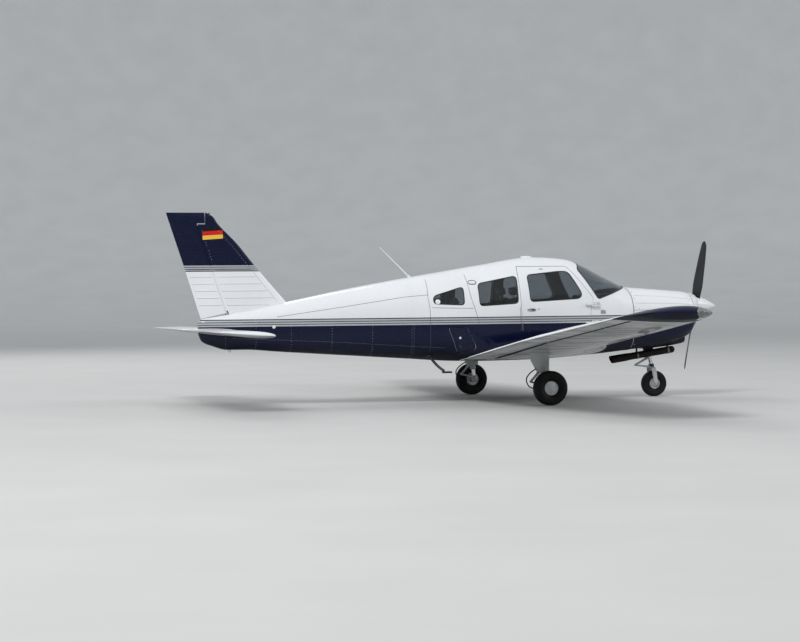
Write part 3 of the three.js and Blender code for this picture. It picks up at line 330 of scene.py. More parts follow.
def smooth_path(points, steps=8):
    """Points along a smooth curve through the given ones."""
    p = [Vector(q) for q in points]
    p = [2 * p[0] - p[1], *p, 2 * p[-1] - p[-2]]
    path = []
    for i in range(1, len(p) - 2):
        for t in (k / steps for k in range(steps)):
            path.append(0.5 * (2 * p[i] + (p[i + 1] - p[i - 1]) * t
                               + (2 * p[i - 1] - 5 * p[i] + 4 * p[i + 1] - p[i + 2]) * t * t
                               + (3 * p[i] - p[i - 1] - 3 * p[i + 1] + p[i + 2]) * t**3))
    return path + [p[-2]]


def ways(path):
    """The direction of a path at each of its points."""
    return [(b - a).normalized() for a, b in zip(path[:1] + path, path[1:] + path[-1:])]


def ellipse(centre, u, v, count=40, power=2.0):
    """A ring about a centre, with half axes u and v."""
    ring = []
    for i in range(count):
        c, s = (math.copysign(abs(w) ** (2 / power), w) for w in turn_of(i, count))
        ring.append(tuple(Vector(centre) + Vector(u) * c + Vector(v) * s))
    return ring


def oval(half_u, half_v, count=32, power=2.4):
    return [p[:2] for p in ellipse((0, 0, 0), (half_u, 0, 0), (0, half_v, 0), count, power)]


# Solid pieces: each maker takes the name of a finish, or None


def link(data, name="part"):
    piece = bpy.data.objects.new(name, data)
    bpy.context.scene.collection.objects.link(piece)
    return piece


def finish(piece, coat):
    """Gives the whole piece one material."""
    if coat:
        piece.data.materials.clear()
        piece.data.materials.append(material(coat))
        piece.data.polygons.foreach_set("material_index", np.zeros(len(piece.data.polygons), np.int32))
    return piece


def new_piece(coat, vertices, faces, edges=()):
    """A piece whose doubles are merged and whose faces are turned outwards."""
    mesh = bpy.data.meshes.new("part")
    mesh.from_pydata([tuple(v) for v in vertices], list(edges), faces)
    if faces:
        bm = bmesh.new()
        bm.from_mesh(mesh)
        bmesh.ops.remove_doubles(bm, verts=bm.verts, dist=1e-6)
        bmesh.ops.dissolve_degenerate(bm, edges=bm.edges, dist=1e-7)
        bmesh.ops.recalc_face_normals(bm, faces=bm.faces)
        bm.to_mesh(mesh)
        bm.free()
    return finish(link(mesh), coat)


def tube_faces(rows, count):
    """Squares between closed rows of points."""
    starts = range(0, (rows - 1) * count, count)
    pairs = [(start + i, start + (i + 1) % count) for start in starts for i in range(count)]
    return [(a, b, b + count, a + count) for a, b in pairs]


def loft(coat, rings):
    """A closed solid through rings of equal point count."""
    count, rings = len(rings[0]), [np.asarray(ring, float) for ring in rings]
    faces = tube_faces(len(rings), count)
    first, last = len(rings) * count, (len(rings) - 1) * count
    for i in range(count):
        faces += [(first, (i + 1) % count, i), (first + 1, last + i, last + (i + 1) % count)]
    return new_piece(coat, np.concatenate([*rings, [rings[0].mean(0), rings[-1].mean(0)]]), faces)


def prism(coat, outline, axis, low, high):
    """An outline pushed along an axis: x takes (y, z), y takes (x, z), z takes (x, y)."""
    at, n = "xyz".index(axis), len(outline)
    vertices = [(*point[:at], w, *point[at:]) for w in (low, high) for point in outline]
    faces = [tuple(range(n)), tuple(range(2 * n - 1, n - 1, -1))]
    return new_piece(coat, vertices, faces + [(i, (i + 1) % n, n + (i + 1) % n, n + i) for i in range(n)])


def square_to(axis):
    """Two directions square to an axis and to each other."""
    u = axis.cross(Z if abs(axis.z) < 0.9 else X).normalized()
    return u, axis.cross(u)


def turned(coat, profile, centre, axis, sides=64):
    """A profile of (radius, distance) turned about an axis."""
    way = Vector(axis).normalized()
    u, v = square_to(way)
    vertices = []
    for radius, distance in profile:
        for c, s in (turn_of(i, sides) for i in range(sides)):
            vertices.append(Vector(centre) + way * distance + (u * c + v * s) * radius)
    return new_piece(coat, vertices, tube_faces(len(profile), sides))


def rod(coat, a, b, start, end=None, sides=28, edge=0.0012):
    """A straight rod with chamfered ends."""
    end, way = end or start, Vector(b) - Vector(a)
    profile = [(0, 0), (start - edge, 0), (start, edge), (end, way.length - edge), (end - edge, way.length),
               (0, way.length)]
    return turned(coat, profile, a, way, sides)


def pipe(coat, points, radius, sides=16, steps=8):
    """A round pipe; radius is one number or one for each point."""
    path = smooth_path(points, steps)
    radii = np.interp(np.linspace(0, 1, len(path)), np.linspace(0, 1, np.size(radius)), np.atleast_1d(radius))
    u, rings = square_to((path[1] - path[0]).normalized())[0], []
    for point, way, reach in zip(path, ways(path), radii):
        u = (u - way * u.dot(way)).normalized()
        v = way.cross(u)
        rings.append([tuple(point + (u * c + v * s) * reach)
                      for c, s in (turn_of(i, sides) for i in range(sides))])
    return loft(coat, rings)


def bar(coat, points, widths, thick, steps=6):
    """A flat bar, its thickness along Y."""
    path = smooth_path(points, steps)
    wide = np.interp(np.linspace(0, 1, len(path)), np.linspace(0, 1, len(widths)), widths)
    return loft(coat, [ellipse(point, way.cross(Y).normalized() * w / 2, Y * thick / 2, 24, 4.0)
                       for point, way, w in zip(path, ways(path), wide)])


def block(coat, low, high, bevel=0.003):
    """A box with rounded edges."""
    low, high = Vector(low), Vector(high)
    bm = bmesh.new()
    bmesh.ops.create_cube(bm, size=1)
    place = Matrix.Translation((low + high) / 2) @ Matrix.Diagonal((*(high - low), 1))
    bmesh.ops.transform(bm, matrix=place, verts=bm.verts)
    if bevel:
        bmesh.ops.bevel(bm, geom=bm.edges, offset=bevel, segments=3, profile=0.5, affect="EDGES")
    mesh = bpy.data.meshes.new("part")
    bm.to_mesh(mesh)
    bm.free()
    return finish(link(mesh), coat)


def drop(*pieces):
    for piece in pieces:
        bpy.data.objects.remove(piece)


def duplicate(piece):
    return link(piece.data.copy())


def mirrored(piece):
    """A copy on the other side of the aircraft."""
    copy = duplicate(piece)
    copy.data.transform(Matrix.Diagonal((1, -1, 1, 1)))
    copy.data.flip_normals()
    return copy


def settle(piece):
    """Turns a piece with its modifiers into a plain mesh."""
    bpy.context.view_layer.update()
    graph = bpy.context.evaluated_depsgraph_get()
    mesh = bpy.data.meshes.new_from_object(
        piece.evaluated_get(graph), preserve_all_data_layers=True, depsgraph=graph)
    piece.modifiers.clear()
    old, piece.data = piece.data, mesh
    bpy.data.meshes.remove(old)
    return piece


def cut(piece, tool, how="DIFFERENCE", keep=False):
    """Cuts, joins or crosses a piece with a tool, whose faces keep their finish."""
    modifier = piece.modifiers.new("cut", "BOOLEAN")
    modifier.operation, modifier.object, modifier.solver = how, tool, "EXACT"
    modifier.material_mode = "TRANSFER"
    settle(piece)
    if not keep:
        drop(tool)
    return piece


def joined(pieces):
    """Several pieces as one object, each face with its own finish."""
    bm = bmesh.new()
    finishes = []
    for piece in pieces:
        slots = list(piece.data.materials) or [None]
        for coat in slots:
            if coat not in finishes:
                finishes.append(coat)
        known = len(bm.faces)
        bm.from_mesh(piece.data)
        bm.faces.ensure_lookup_table()
        for face in bm.faces[known:]:
            face.material_index = finishes.index(slots[min(face.material_index, len(slots) - 1)])
    mesh = bpy.data.meshes.new("part")
    bm.to_mesh(mesh)
    bm.free()
    for coat in finishes:
        mesh.materials.append(coat)
    drop(*pieces)
    return link(mesh)


def dress(name, piece, slot, *nodes, body="airframe", sharp=38):
    """Sets a finished piece, or a list of them, in place with its nodes and body; slot is not used."""
    piece = joined(piece) if isinstance(piece, list) else piece
    piece.name = piece.data.name = name
    piece.data.shade_smooth()
    piece.data.set_sharp_from_angle(angle=math.radians(sharp))
    piece.data.transform(Matrix.Translation(AXLE_X * X))
    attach(piece, body)
    if nodes:
        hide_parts(*nodes)
    return piece


# Materials


class Nodes:
    """Grows a node tree."""

    family = "GeometryNode"

    def add(self, kind, inputs=None, **settings):
        node = self.tree.nodes.new(kind if "Node" in kind else self.family + kind)
        for key, value in settings.items():
            setattr(node, key, value)
        for key, value in (inputs or {}).items():
            if isinstance(value, bpy.types.NodeSocket):
                self.tree.links.new(value, node.inputs[key])
            else:
                node.inputs[key].default_value = value
        return node


class Coat(Nodes):
    """A material grown from nodes around one shader."""

    family = "ShaderNode"

    def __init__(self, name, base, roughness, **levels):
        self.material = bpy.data.materials.new(name)
        self.material.use_nodes = True
        self.tree = self.material.node_tree
        self.shader = self.tree.nodes["Principled BSDF"]
        self.shader.inputs["Base Color"].default_value = base
        self.shader.inputs["Roughness"].default_value = roughness
        for label, value in levels.items():
            self.shader.inputs[label.replace("_", " ")].default_value = value
        self.place = self.add("TexCoord").outputs["Object"]

    def set(self, label, socket):
        self.tree.links.new(socket, self.shader.inputs[label])

    def tone(self, socket):
        self.set("Base Color", socket)

    def rough(self, socket):
        self.set("Roughness", socket)

    def noise(self, scale, detail=4.0, stretch=None):
        """Cloudy noise; stretch squeezes it along each axis."""
        place = self.place
        if stretch:
            place = self.add("Mapping", {"Vector": place, "Scale": stretch}).outputs[0]
        return self.add("TexNoise", {"Vector": place, "Scale": scale, "Detail": detail}).outputs["Fac"]

    def cells(self, scale, **settings):
        return self.add("TexVoronoi", {"Vector": self.place, "Scale": scale}, **settings).outputs["Distance"]

    def range(self, value, low, high, first, last):
        names = ("Value", "From Min", "From Max", "To Min", "To Max")
        return self.add("MapRange", dict(zip(names, (value, low, high, first, last)))).outputs[0]

    def cloud(self, scale, detail, first, last, low=0.3, high=0.7, stretch=None):
        """Cloudy noise spread between two values."""
        return self.range(self.noise(scale, detail, stretch), low, high, first, last)

    def sum(self, operation, *values):
        return self.add("Math", dict(enumerate(values)), operation=operation).outputs[0]

    def product(self, first, *others):
        for other in others:
            first = self.sum("MULTIPLY", first, other)
        return first

    def shade(self, base, value):
        return self.add("HueSaturation", {"Color": base, "Value": value}).outputs[0]

    def blend(self, factor, first, second):
        return self.add("Mix", {0: factor, 6: first, 7: second}, data_type="RGBA").outputs[2]

    def axis(self, which, vector=None):
        return self.add("SeparateXYZ", {0: vector or self.place}).outputs[which]

    def distance(self, vector):
        return self.add("VectorMath", {0: vector}, operation="LENGTH").outputs["Value"]

    def bump(self, height, strength, distance):
        normal = self.shader.inputs["Normal"]
        inputs = {"Height": height, "Strength": strength, "Distance": distance}
        if normal.links:
            inputs["Normal"] = normal.links[0].from_socket
        self.set("Normal", self.add("Bump", inputs).outputs[0])
        return self

    def bands(self, value, low, high, edges, colours):
        """Hard-edged bands of colour along a value."""
        node = self.add("ValToRGB", {"Fac": self.range(value, low, high, 0, 1)})
        ramp = node.color_ramp
        ramp.interpolation = "CONSTANT"
        ramp.elements.remove(ramp.elements[1])
        ramp.elements[0].color = colours[0]
        for edge, band in zip(edges, colours[1:]):
            ramp.elements.new((edge - low) / (high - low)).color = band
        return node.outputs["Color"]


def gloss_paint(name, base="white", bands=None, clear=0.12):
    """Gloss paint: clear coat, faint ripple, dust, and stains with painted shade where it faces down."""
    base = colour(base)
    coat = Coat(name, base, 0.25, Coat_Weight=clear, Coat_Roughness=0.05, Specular_IOR_Level=0.16 + clear / 2)
    shown = bands(coat) if bands else base
    # Painted shade: faces turned down are darkened everywhere, more where the stain noise lies; the same mask
    # raises their roughness
    down = coat.range(coat.axis("Z", coat.add("NewGeometry").outputs["Normal"]), -0.2, -0.95, 0, 1)
    stain = coat.cloud(5.5, 8, 0, 0.34, 0.4, 0.68, (0.35, 1.6, 1))
    darkening = coat.product(down, coat.sum("ADD", stain, 0.42))
    coat.tone(coat.shade(shown, coat.sum("SUBTRACT", coat.cloud(1.7, 5, 0.95, 1.0), darkening)))
    coat.rough(coat.sum("ADD", coat.cloud(11, 6, 0.17, 0.3), darkening))
    return coat.bump(coat.noise(3.2, 2), 0.1, 0.012).bump(coat.noise(420, 2), 0.03, 0.0006)


STRIPE_EDGES = (0.98, 0.998, 1.008, 1.027, 1.037, 1.057, 1.07)
FIN_EDGES = (1.66, 1.672, 1.685, 1.695, 1.71, 1.72, 1.735)
FLAG_REAR, FLAG_FRONT, FLAG_TILT, FLAG_EDGES = -3.958, -3.704, math.tan(math.radians(3.8)), (2.05, 2.1, 2.15, 2.2)
FLAG_COLOURS = ((0.8, 0.5, 0.06, 1), (0.62, 0.012, 0.015, 1), (0.006, 0.006, 0.008, 1))


def fuselage_bands(coat):
    order = ("navy", "silver", "dark", "silver", "dark", "silver", "dark", "white")
    return coat.bands(coat.axis("Z"), 0.96, 1.08, STRIPE_EDGES, [colour(name) for name in order])


def fin_bands(coat):
    """Stripes and navy on the fin, with a tricolour on each side."""
    order = ("white", "dark", "silver", "dark", "silver", "dark", "silver", "navy")
    plain = coat.bands(coat.axis("Z"), 1.65, 1.75, FIN_EDGES, [colour(name) for name in order])
    rear, front = FLAG_REAR + AXLE_X, FLAG_FRONT + AXLE_X
    x = coat.axis("X")
    level = coat.sum("SUBTRACT", coat.axis("Z"), coat.product(coat.sum("SUBTRACT", x, rear), FLAG_TILT))
    low, *middle, high = FLAG_EDGES
    flag = coat.bands(level, low, high, middle, FLAG_COLOURS)
    inside = [coat.sum("GREATER_THAN", x, rear), coat.sum("LESS_THAN", x, front),
              coat.sum("GREATER_THAN", level, low), coat.sum("LESS_THAN", level, high)]
    return coat.blend(coat.product(*inside), plain, flag)


def glazing(name):
    coat = Coat(name, (0.45, 0.49, 0.52, 1), 0.02, Transmission_Weight=1.0, IOR=1.49)
    coat.rough(coat.cloud(7, 6, 0.015, 0.07, 0.45, 0.75))
    return coat


def lens(name, base):
    coat = Coat(name, base, 0.06, Transmission_Weight=0.85, IOR=1.49)
    ribs = coat.add("TexWave", {"Vector": coat.place, "Scale": 60.0}, bands_direction="Z").outputs["Fac"]
    return coat.bump(ribs, 0.2, 0.002)


def cloth(name, scale, roughness):
    """Short woven or tufted cloth."""
    coat = Coat(name, colour(name), roughness, Sheen_Weight=0.3, Sheen_Roughness=0.5)
    tuft = coat.cells(scale)
    coat.tone(coat.shade(colour(name), coat.range(tuft, 0, 0.7, 1.1, 0.72)))
    return coat.bump(tuft, 0.5, 0.003)


def leather(name):
    """Grained leather, darker in its creases."""
    base = colour("leather")
    coat = Coat(name, base, 0.5, Specular_IOR_Level=0.45)
    grain, crease = coat.cells(260.0, feature="DISTANCE_TO_EDGE"), coat.noise(7, 7)
    tone = coat.product(coat.range(grain, 0, 0.25, 0.7, 1.05), coat.range(crease, 0.35, 0.65, 0.82, 1.08))
    coat.tone(coat.shade(base, tone))
    coat.rough(coat.cloud(4, 4, 0.38, 0.6))
    return coat.bump(grain, 0.35, 0.0012).bump(crease, 0.25, 0.006)


def rubber(name):
    """Dusty tyre rubber."""
    coat = Coat(name, (0.01, 0.01, 0.011, 1), 0.85, Specular_IOR_Level=0.3)
    dust = coat.noise(9, 8)
    brown = coat.range(dust, 0.5, 0.8, 0, 0.35)
    coat.tone(coat.blend(brown, (0.005, 0.005, 0.006, 1), (0.03, 0.028, 0.025, 1)))
    coat.rough(coat.range(dust, 0.3, 0.7, 0.62, 0.92))
    return coat.bump(coat.noise(320, 3), 0.25, 0.0008)


def metal(name, base, roughness, darkening=0.3, streak=(1, 1, 1), dirt_base=(0.05, 0.045, 0.04, 1)):
    """Soiled metal, streaked along its grain."""
    coat = Coat(name, base, roughness, Metallic=1.0)
    coat.tone(coat.blend(coat.cloud(14, 7, 0, darkening, 0.5, 0.78), base, dirt_base))
    grain = coat.noise(70, 4, streak)
    coat.rough(coat.range(grain, 0.3, 0.7, roughness * 0.7, min(1.0, roughness * 1.4)))
    return coat.bump(grain, 0.12, 0.0008)


def tough_paint(name, base, roughness=0.42, chip=0.12):
    """Enamel with small chips and grease."""
    shown = colour(base) if isinstance(base, str) else base
    coat = Coat(name, shown, roughness)
    chips = coat.cloud(46, 9, 0, chip * 6, 0.7, 0.74)
    grease = coat.cloud(8, 6, 1.0, 0.72, 0.48, 0.72, (1, 1, 0.5))
    coat.tone(coat.blend(chips, coat.shade(shown, grease), (0.16, 0.15, 0.14, 1)))
    coat.rough(coat.cloud(20, 5, roughness * 0.75, roughness * 1.3))
    return coat.bump(coat.noise(150, 3), 0.15, 0.0008)


def blade_paint(name):
    """Satin black, rubbed bare along the edges."""
    coat = Coat(name, colour("blade"), 0.42)
    edge = coat.add("NewGeometry").outputs["Pointiness"]
    worn = coat.range(coat.sum("ADD", edge, coat.product(coat.noise(60, 6), 0.05)), 0.565, 0.6, 0, 0.7)
    coat.tone(coat.blend(worn, colour("blade"), (0.42, 0.42, 0.43, 1)))
    coat.rough(coat.cloud(25, 5, 0.34, 0.52))
    return coat.bump(coat.noise(240, 3), 0.1, 0.0005)


def plastic(name, base, roughness=0.55, scale=500.0):
    """Moulded plastic with a fine grain."""
    coat = Coat(name, base, roughness)
    coat.rough(coat.cloud(12, 5, roughness * 0.8, roughness * 1.15))
    coat.tone(coat.shade(base, coat.cloud(6, 5, 0.85, 1.05)))
    return coat.bump(coat.cells(scale), 0.2, 0.0006)


def dial_face(name):
    """Ticks all round and a white needle, on the disc's own map."""
    black = (0.01, 0.01, 0.011, 1)
    coat = Coat(name, black, 0.35)
    place = coat.add("UVMap", uv_map="dial").outputs[0]
    x, y, radius = coat.axis("X", place), coat.axis("Y", place), coat.distance(place)
    turn = coat.sum("ADD", coat.sum("DIVIDE", coat.sum("ARCTAN2", y, x), 2 * math.pi), 1)
    tick = coat.sum("LESS_THAN", coat.sum("FRACT", coat.product(turn, 24)), 0.16)
    ring = [coat.sum("GREATER_THAN", radius, 0.74), coat.sum("LESS_THAN", radius, 0.92)]
    aside = coat.sum("ABSOLUTE", coat.sum("SUBTRACT", x, coat.product(y, 0.6)))
    needle = [coat.sum("LESS_THAN", aside, 0.06), coat.sum("GREATER_THAN", y, -0.1),
              coat.sum("LESS_THAN", radius, 0.7)]
    mark = coat.sum("MAXIMUM", coat.product(tick, *ring), coat.product(*needle))
    coat.tone(coat.blend(mark, black, (0.75, 0.76, 0.74, 1)))
    return coat


def ground(name):
    """The stage's floor, with painted light: paler far away, where the lamps light it less."""
    base = (0.52, 0.52, 0.51, 1)
    coat = Coat(name, base, 0.85)
    # Painted light: the floor grows up to 55% paler between 18 m and 80 m out
    pale = coat.range(coat.distance(coat.place), 18, 80, 1.0, 1.55)
    coat.tone(coat.shade(base, coat.product(pale, coat.cloud(0.6, 6, 0.96, 1.02))))
    return coat


RECIPES = {
    "white_paint": (gloss_paint, "white", None, 0.45),
    "navy_paint": (gloss_paint, "navy"),
    "fuselage_paint": (gloss_paint, "white", fuselage_bands),
    "fin_paint": (gloss_paint, "white", fin_bands),
    "glazing": (glazing,),
    "clear_lens": (lens, (0.9, 0.92, 0.93, 1)),
    "green_lens": (lens, (0.05, 0.65, 0.35, 1)),
    "red_lens": (lens, (0.8, 0.03, 0.03, 1)),
    "liner": (cloth, 700.0, 0.85),
    "carpet": (cloth, 420.0, 0.95),
    "seat_leather": (leather,),
    "tyre_rubber": (rubber,),
    "seal_rubber": (plastic, (0.012, 0.012, 0.013, 1), 0.6, 900.0),
    "seam_line": (plastic, (0.05, 0.053, 0.058, 1), 0.7, 900.0),
    "panel_plastic": (plastic, (0.02, 0.02, 0.022, 1), 0.5),
    "grip_walk": (plastic, (0.015, 0.015, 0.016, 1), 0.95, 240.0),
    "bare_steel": (metal, (0.5, 0.51, 0.52, 1), 0.32, 0.3, (1, 1, 12)),
    "chrome": (metal, (0.8, 0.81, 0.82, 1), 0.1, 0.1),
    "cast_alloy": (metal, (0.48, 0.49, 0.5, 1), 0.42, 0.45),
    "wheel_paint": (tough_paint, (0.62, 0.64, 0.65, 1), 0.35, 0.05),
    "engine_iron": (metal, (0.2, 0.2, 0.205, 1), 0.6, 0.6),
    "sooty_steel": (metal, (0.035, 0.03, 0.027, 1), 0.7, 0.85, (1, 6, 6), (0.006, 0.006, 0.006, 1)),
    "gear_paint": (tough_paint, "gear"),
    # Near-black enamel for dark parts; as the cutters' finish it is also painted shade on the walls of gaps and
    # openings
    "dark_paint": (tough_paint, (0.008, 0.009, 0.016, 1), 0.4),
    "blade_paint": (blade_paint,),
    "dial_face": (dial_face,),
    "floor": (ground,),
}
made = {}


def material(name):
    """A material, built when it is first asked for."""
    if name not in made:
        recipe, *values = RECIPES[name]
        made[name] = recipe(name, *values).material
    return made[name]


# Patterns that repeat along a path


class Pattern(Nodes):
    """A node tree that lays something along a guide mesh."""

    def __init__(self, name, **inputs):
        self.tree = bpy.data.node_groups.new(name, "GeometryNodeTree")
        sockets = [("Geometry", "Geometry", None), *((label, *kind) for label, kind in inputs.items())]
        for label, kind, value in (*sockets, ("Finish", "Material", None)):
            socket = self.tree.interface.new_socket(label, in_out="INPUT", socket_type="NodeSocket" + kind)
            if value is not None:
                socket.default_value = value
        self.tree.interface.new_socket("Geometry", in_out="OUTPUT", socket_type="NodeSocketGeometry")
        self.given = self.add("NodeGroupInput").outputs
        self.line = self.add("MeshToCurve", {0: self.given["Geometry"]}).outputs[0]

    def spread(self, item, way, scale=(1, 1, 1), **steps):
        """Copies of an item at even steps along the line, each facing its way."""
        mode = "LENGTH" if "Length" in steps else "COUNT"
        points = self.add("ResampleCurve", {"Curve": self.line, **steps}, mode=mode).outputs[0]
        turn = self.add("FunctionNodeAlignRotationToVector", {"Vector": way}, axis="Z").outputs[0]
        inputs = {"Points": points, "Instance": item, "Rotation": turn, "Scale": scale}
        return self.add("InstanceOnPoints", inputs).outputs[0]

    def close(self, geometry):
        """Ends the tree in Realize Instances and Set Material."""
        real = self.add("RealizeInstances", {0: geometry}).outputs[0]
        end = self.add("SetMaterial", {"Geometry": real, "Material": self.given["Finish"]}).outputs[0]
        self.add("NodeGroupOutput", {0: end})
        return self.tree


def heads_pattern(name):
    """Round heads at even steps, facing the way of the guide's 'out' attribute."""
    tree = Pattern(name, Pitch=("Float", 0.03), Radius=("Float", 0.003), Height=("Float", 0.4), Sides=("Int", 8))
    given = tree.given
    head = tree.add("MeshUVSphere", {"Segments": given["Sides"], "Rings": 4, "Radius": given["Radius"]}).outputs[0]
    out = tree.add("InputNamedAttribute", {"Name": "out"}, data_type="FLOAT_VECTOR").outputs[0]
    flat = tree.add("ShaderNodeCombineXYZ", {"X": 1.0, "Y": 1.0, "Z": given["Height"]}).outputs[0]
    return tree.close(tree.spread(head, out, flat, Length=given["Pitch"]))


def strip_pattern(name):
    """A round strip, closed where the guide is a loop."""
    tree = Pattern(name, Width=("Float", 0.004), Sides=("Int", 8))
    half = tree.add("ShaderNodeMath", {0: tree.given["Width"], 1: 0.5}, operation="MULTIPLY").outputs[0]
    ring = tree.add("CurvePrimitiveCircle", {"Resolution": tree.given["Sides"], "Radius": half}).outputs[0]
    return tree.close(tree.add("CurveToMesh",
                               {"Curve": tree.line, "Profile Curve": ring, "Fill Caps": True}).outputs[0])


def discs_pattern(name):
    """Thin discs strung on the guide."""
    tree = Pattern(name, Count=("Int", 14), Radius=("Float", 0.08), Thickness=("Float", 0.002))
    given = tree.given
    disc = tree.add("MeshCylinder", {"Vertices": 24, "Radius": given["Radius"],
                                     "Depth": given["Thickness"]}).outputs[0]
    return tree.close(tree.spread(disc, tree.add("InputTangent").outputs[0], Count=given["Count"]))


PATTERNS = {"heads": heads_pattern, "strip": strip_pattern, "discs": discs_pattern}


def laid(coat, kind, paths, **values):
    """A pattern run along paths of (points, outs or None, closed), as a plain mesh."""
    vertices, edges, outs = [], [], []
    for points, normals, closed in paths:
        first = len(vertices)
        vertices.extend(points)
        outs += [tuple(n) for n in (normals or [Z] * len(points))]
        edges += [(first + i, first + i + 1) for i in range(len(points) - 1)]
        if closed:
            edges.append((first + len(points) - 1, first))
    piece = new_piece(None, vertices, [], edges)
    piece.data.attributes.new("out", "FLOAT_VECTOR", "POINT").data.foreach_set("vector", np.ravel(outs))
    tree = bpy.data.node_groups.get(kind) or PATTERNS[kind](kind)
    modifier = piece.modifiers.new(kind, "NODES")
    modifier.node_group = tree
    values["Finish"] = material(coat)
    for item in tree.interface.items_tree:
        if item.in_out == "INPUT" and item.name in values:
            modifier[item.identifier] = values[item.name]
    return settle(piece)


def ringed(coat, points, width):
    """A round strip along a closed line."""
    return laid(coat, "strip", [(points, None, True)], Width=width)


# Cabin shell, doors and glazing


def skin(coat, rows, front, rear, inset=0.0, beyond=(0.0, 0.0), step=0.045):
    """The body between two stations, moved inwards; its ends may reach beyond."""
    stations = np.linspace(front, rear, max(2, int((front - rear) / step) + 1))
    rings = body_rings(rows, stations, inset)
    rings[0][:, 0] += beyond[0]
    rings[-1][:, 0] -= beyond[1]
    return loft(coat, rings)


def cabin_blank():
    """The cabin's walls, painted outside, lined and carpeted inside."""
    blank = skin("fuselage_paint", BODY, FIREWALL - SEAT, CABIN_REAR)
    room = skin("liner", BODY, FIREWALL, CABIN_REAR + WALL, WALL, (0.03, 0))
    room.data.materials.append(material("carpet"))
    for face in room.data.polygons:
        face.material_index = int(face.center.z < 0.6)
    return cut(blank, room)


def hole(outline, reach, corner=CORNER):
    """A tool through one side wall, leaving painted edges."""
    return prism("white_paint", rounded(outline, corner), "y", *reach)


def door_cone(grow):
    """The space inside the door's rear edge, a cone about the hinge line."""
    (z0, *low), (z1, *high) = DOOR_REAR
    lower, upper = (math.hypot(DOOR_HINGE.x - x, -DOOR_HINGE.y - half) + grow for x, half in (low, high))
    profile = [(0, z0 - 0.1), (lower, z0 - 0.1), (lower, z0), (upper, z1), (0, z1)]
    return turned("white_paint", profile, (DOOR_HINGE.x, DOOR_HINGE.y, 0), Z, 220)


def hinge_arms(bands, foot):
    """Door hinge leaves: a knuckle and an arm to a foot under the skin."""
    x, y = DOOR_HINGE.x, DOOR_HINGE.y
    root = foot + math.copysign(0.026, x - foot)
    leaves = []
    for low, high in ((z + a, z + b) for z in HINGE_HEIGHTS for a, b in bands):
        leaves += [rod("white_paint", (x, y, low), (x, y, high), 0.009),
                   block("white_paint", (min(x, foot), y - 0.006, low), (max(x, foot), y + 0.006, high)),
                   block("white_paint", (min(foot, root), y - 0.007, low), (max(foot, root), y + 0.05, high))]
    return leaves


def make_shell():
    shell = cabin_blank()
    cut(shell, hole(WINDSHIELD, ACROSS, SHIELD_CORNER))
    for _, outline, reach in WINDOWS[1:]:
        cut(shell, hole(outline, reach))
    doorway = hole(DOOR, RIGHT, 0.045)
    cut(doorway, door_cone(PANEL_GAP + 0.001), "INTERSECT")
    cut(shell, doorway)
    cut(shell, hole(HATCH, RIGHT))
    leaves = hinge_arms(((-0.03, -0.0153), (0.0153, 0.03)), 1.024)
    dress("cabin_shell_skin", [shell, *leaves], "white_paint",
          "cabin_shell", "cabin_shell_rear", "cabin_roof_front", "cabin_roof_rear")


def make_doors():
    door = cabin_blank()
    cut(door, hole(shrunk(DOOR, PANEL_GAP), RIGHT, 0.042), "INTERSECT")
    cut(door, door_cone(0), "INTERSECT")
    cut(door, hole(FRONT_WINDOW, RIGHT))
    leaves = hinge_arms(((-0.015, 0.015),), 0.846)
    dress("cabin_door_skin", [door, *leaves], "white_paint", "cabin_door", body="cabin_door")
    hatch = cabin_blank()
    cut(hatch, hole(shrunk(HATCH, PANEL_GAP + 0.002), RIGHT, 0.05), "INTERSECT")
    cut(hatch, skin("liner", BODY, FIREWALL - 0.1, CABIN_REAR + 0.01, 0.016))
    ends = [(x, -side_at(x, z), z) for x, z in ((-0.704, 0.881), (-0.634, 0.743))]
    barrel = rod("navy_paint", *ends, 0.0042)
    dress("baggage_door_skin", [hatch, barrel], "navy_paint", "baggage_door", body="baggage_door")
    handle = [plate_on("bare_steel", 0.12, 1.148, -1, oval(0.058, 0.022), 0.003),
              plate_on("panel_plastic", 0.14, 1.15, -1, oval(0.026, 0.009), 0.013, -0.1),
              plate_on("chrome", 0.213, 1.159, -1, oval(0.011, 0.011), 0.004),
              plate_on("chrome", 0.3, 1.66, -1, oval(0.03, 0.01), 0.007)]
    dress("door_handle", handle, "bare_steel", body="cabin_door")
    latches = [plate_on(coat, x, z, -1, oval(0.014, 0.014), 0.005)
               for x, z, coat in ((-0.813, 0.811, "white_paint"), (-0.805, 0.705, "panel_plastic"))]
    dress("hatch_latches", latches, "bare_steel", body="baggage_door")


def plate_on(coat, x, z, side, outline, lift, spin=0.0):
    """A flat fitting on the body's side, from an outline of (along, up)."""
    here, out = on_side(x, z, side)
    along = Y.cross(out) if abs(out.y) < 0.5 else Z.cross(out)
    along = (along - out * along.dot(out)).normalized()
    up = out.cross(along)
    if up.z < 0:
        up = -up
    along, up = along * math.cos(spin) + up * math.sin(spin), up * math.cos(spin) - along * math.sin(spin)
    return loft(coat, [[tuple(here + along * u * grow + up * v * grow + out * w) for u, v in outline]
                       for w, grow in ((-0.004, 1.0), (lift * 0.6, 1.0), (lift, 0.86))])


def pane(label, outline, reach, body, node):
    """One pane, set just inside the skin."""
    xs = [x for x, _ in outline]
    front, rear = min(max(xs) + 0.06, FIREWALL), min(xs) - 0.06
    glass = skin("glazing", BODY, front, rear, 0.003, step=0.03)
    cut(glass, skin("glazing", BODY, front, rear, 0.011, (0.01, 0.01), 0.03))
    cut(glass, prism("glazing", outline, "y", *reach), "INTERSECT")
    dress(f"{label}_pane", finish(glass, "glazing"), "clear_glazing", node, body=body)


def stepped(corners, step):
    """Points at short steps along straight lines between corners."""
    points = []
    for a, b in zip(corners, corners[1:]):
        count = max(1, int(math.dist(a, b) / step))
        points += [tuple(p + (q - p) * k / count for p, q in zip(a, b)) for k in range(count)]
    return [*points, tuple(corners[-1])]


def round_of(outline):
    """Points at short steps round a closed outline."""
    return stepped([*outline, outline[0]], 0.02)[:-1]


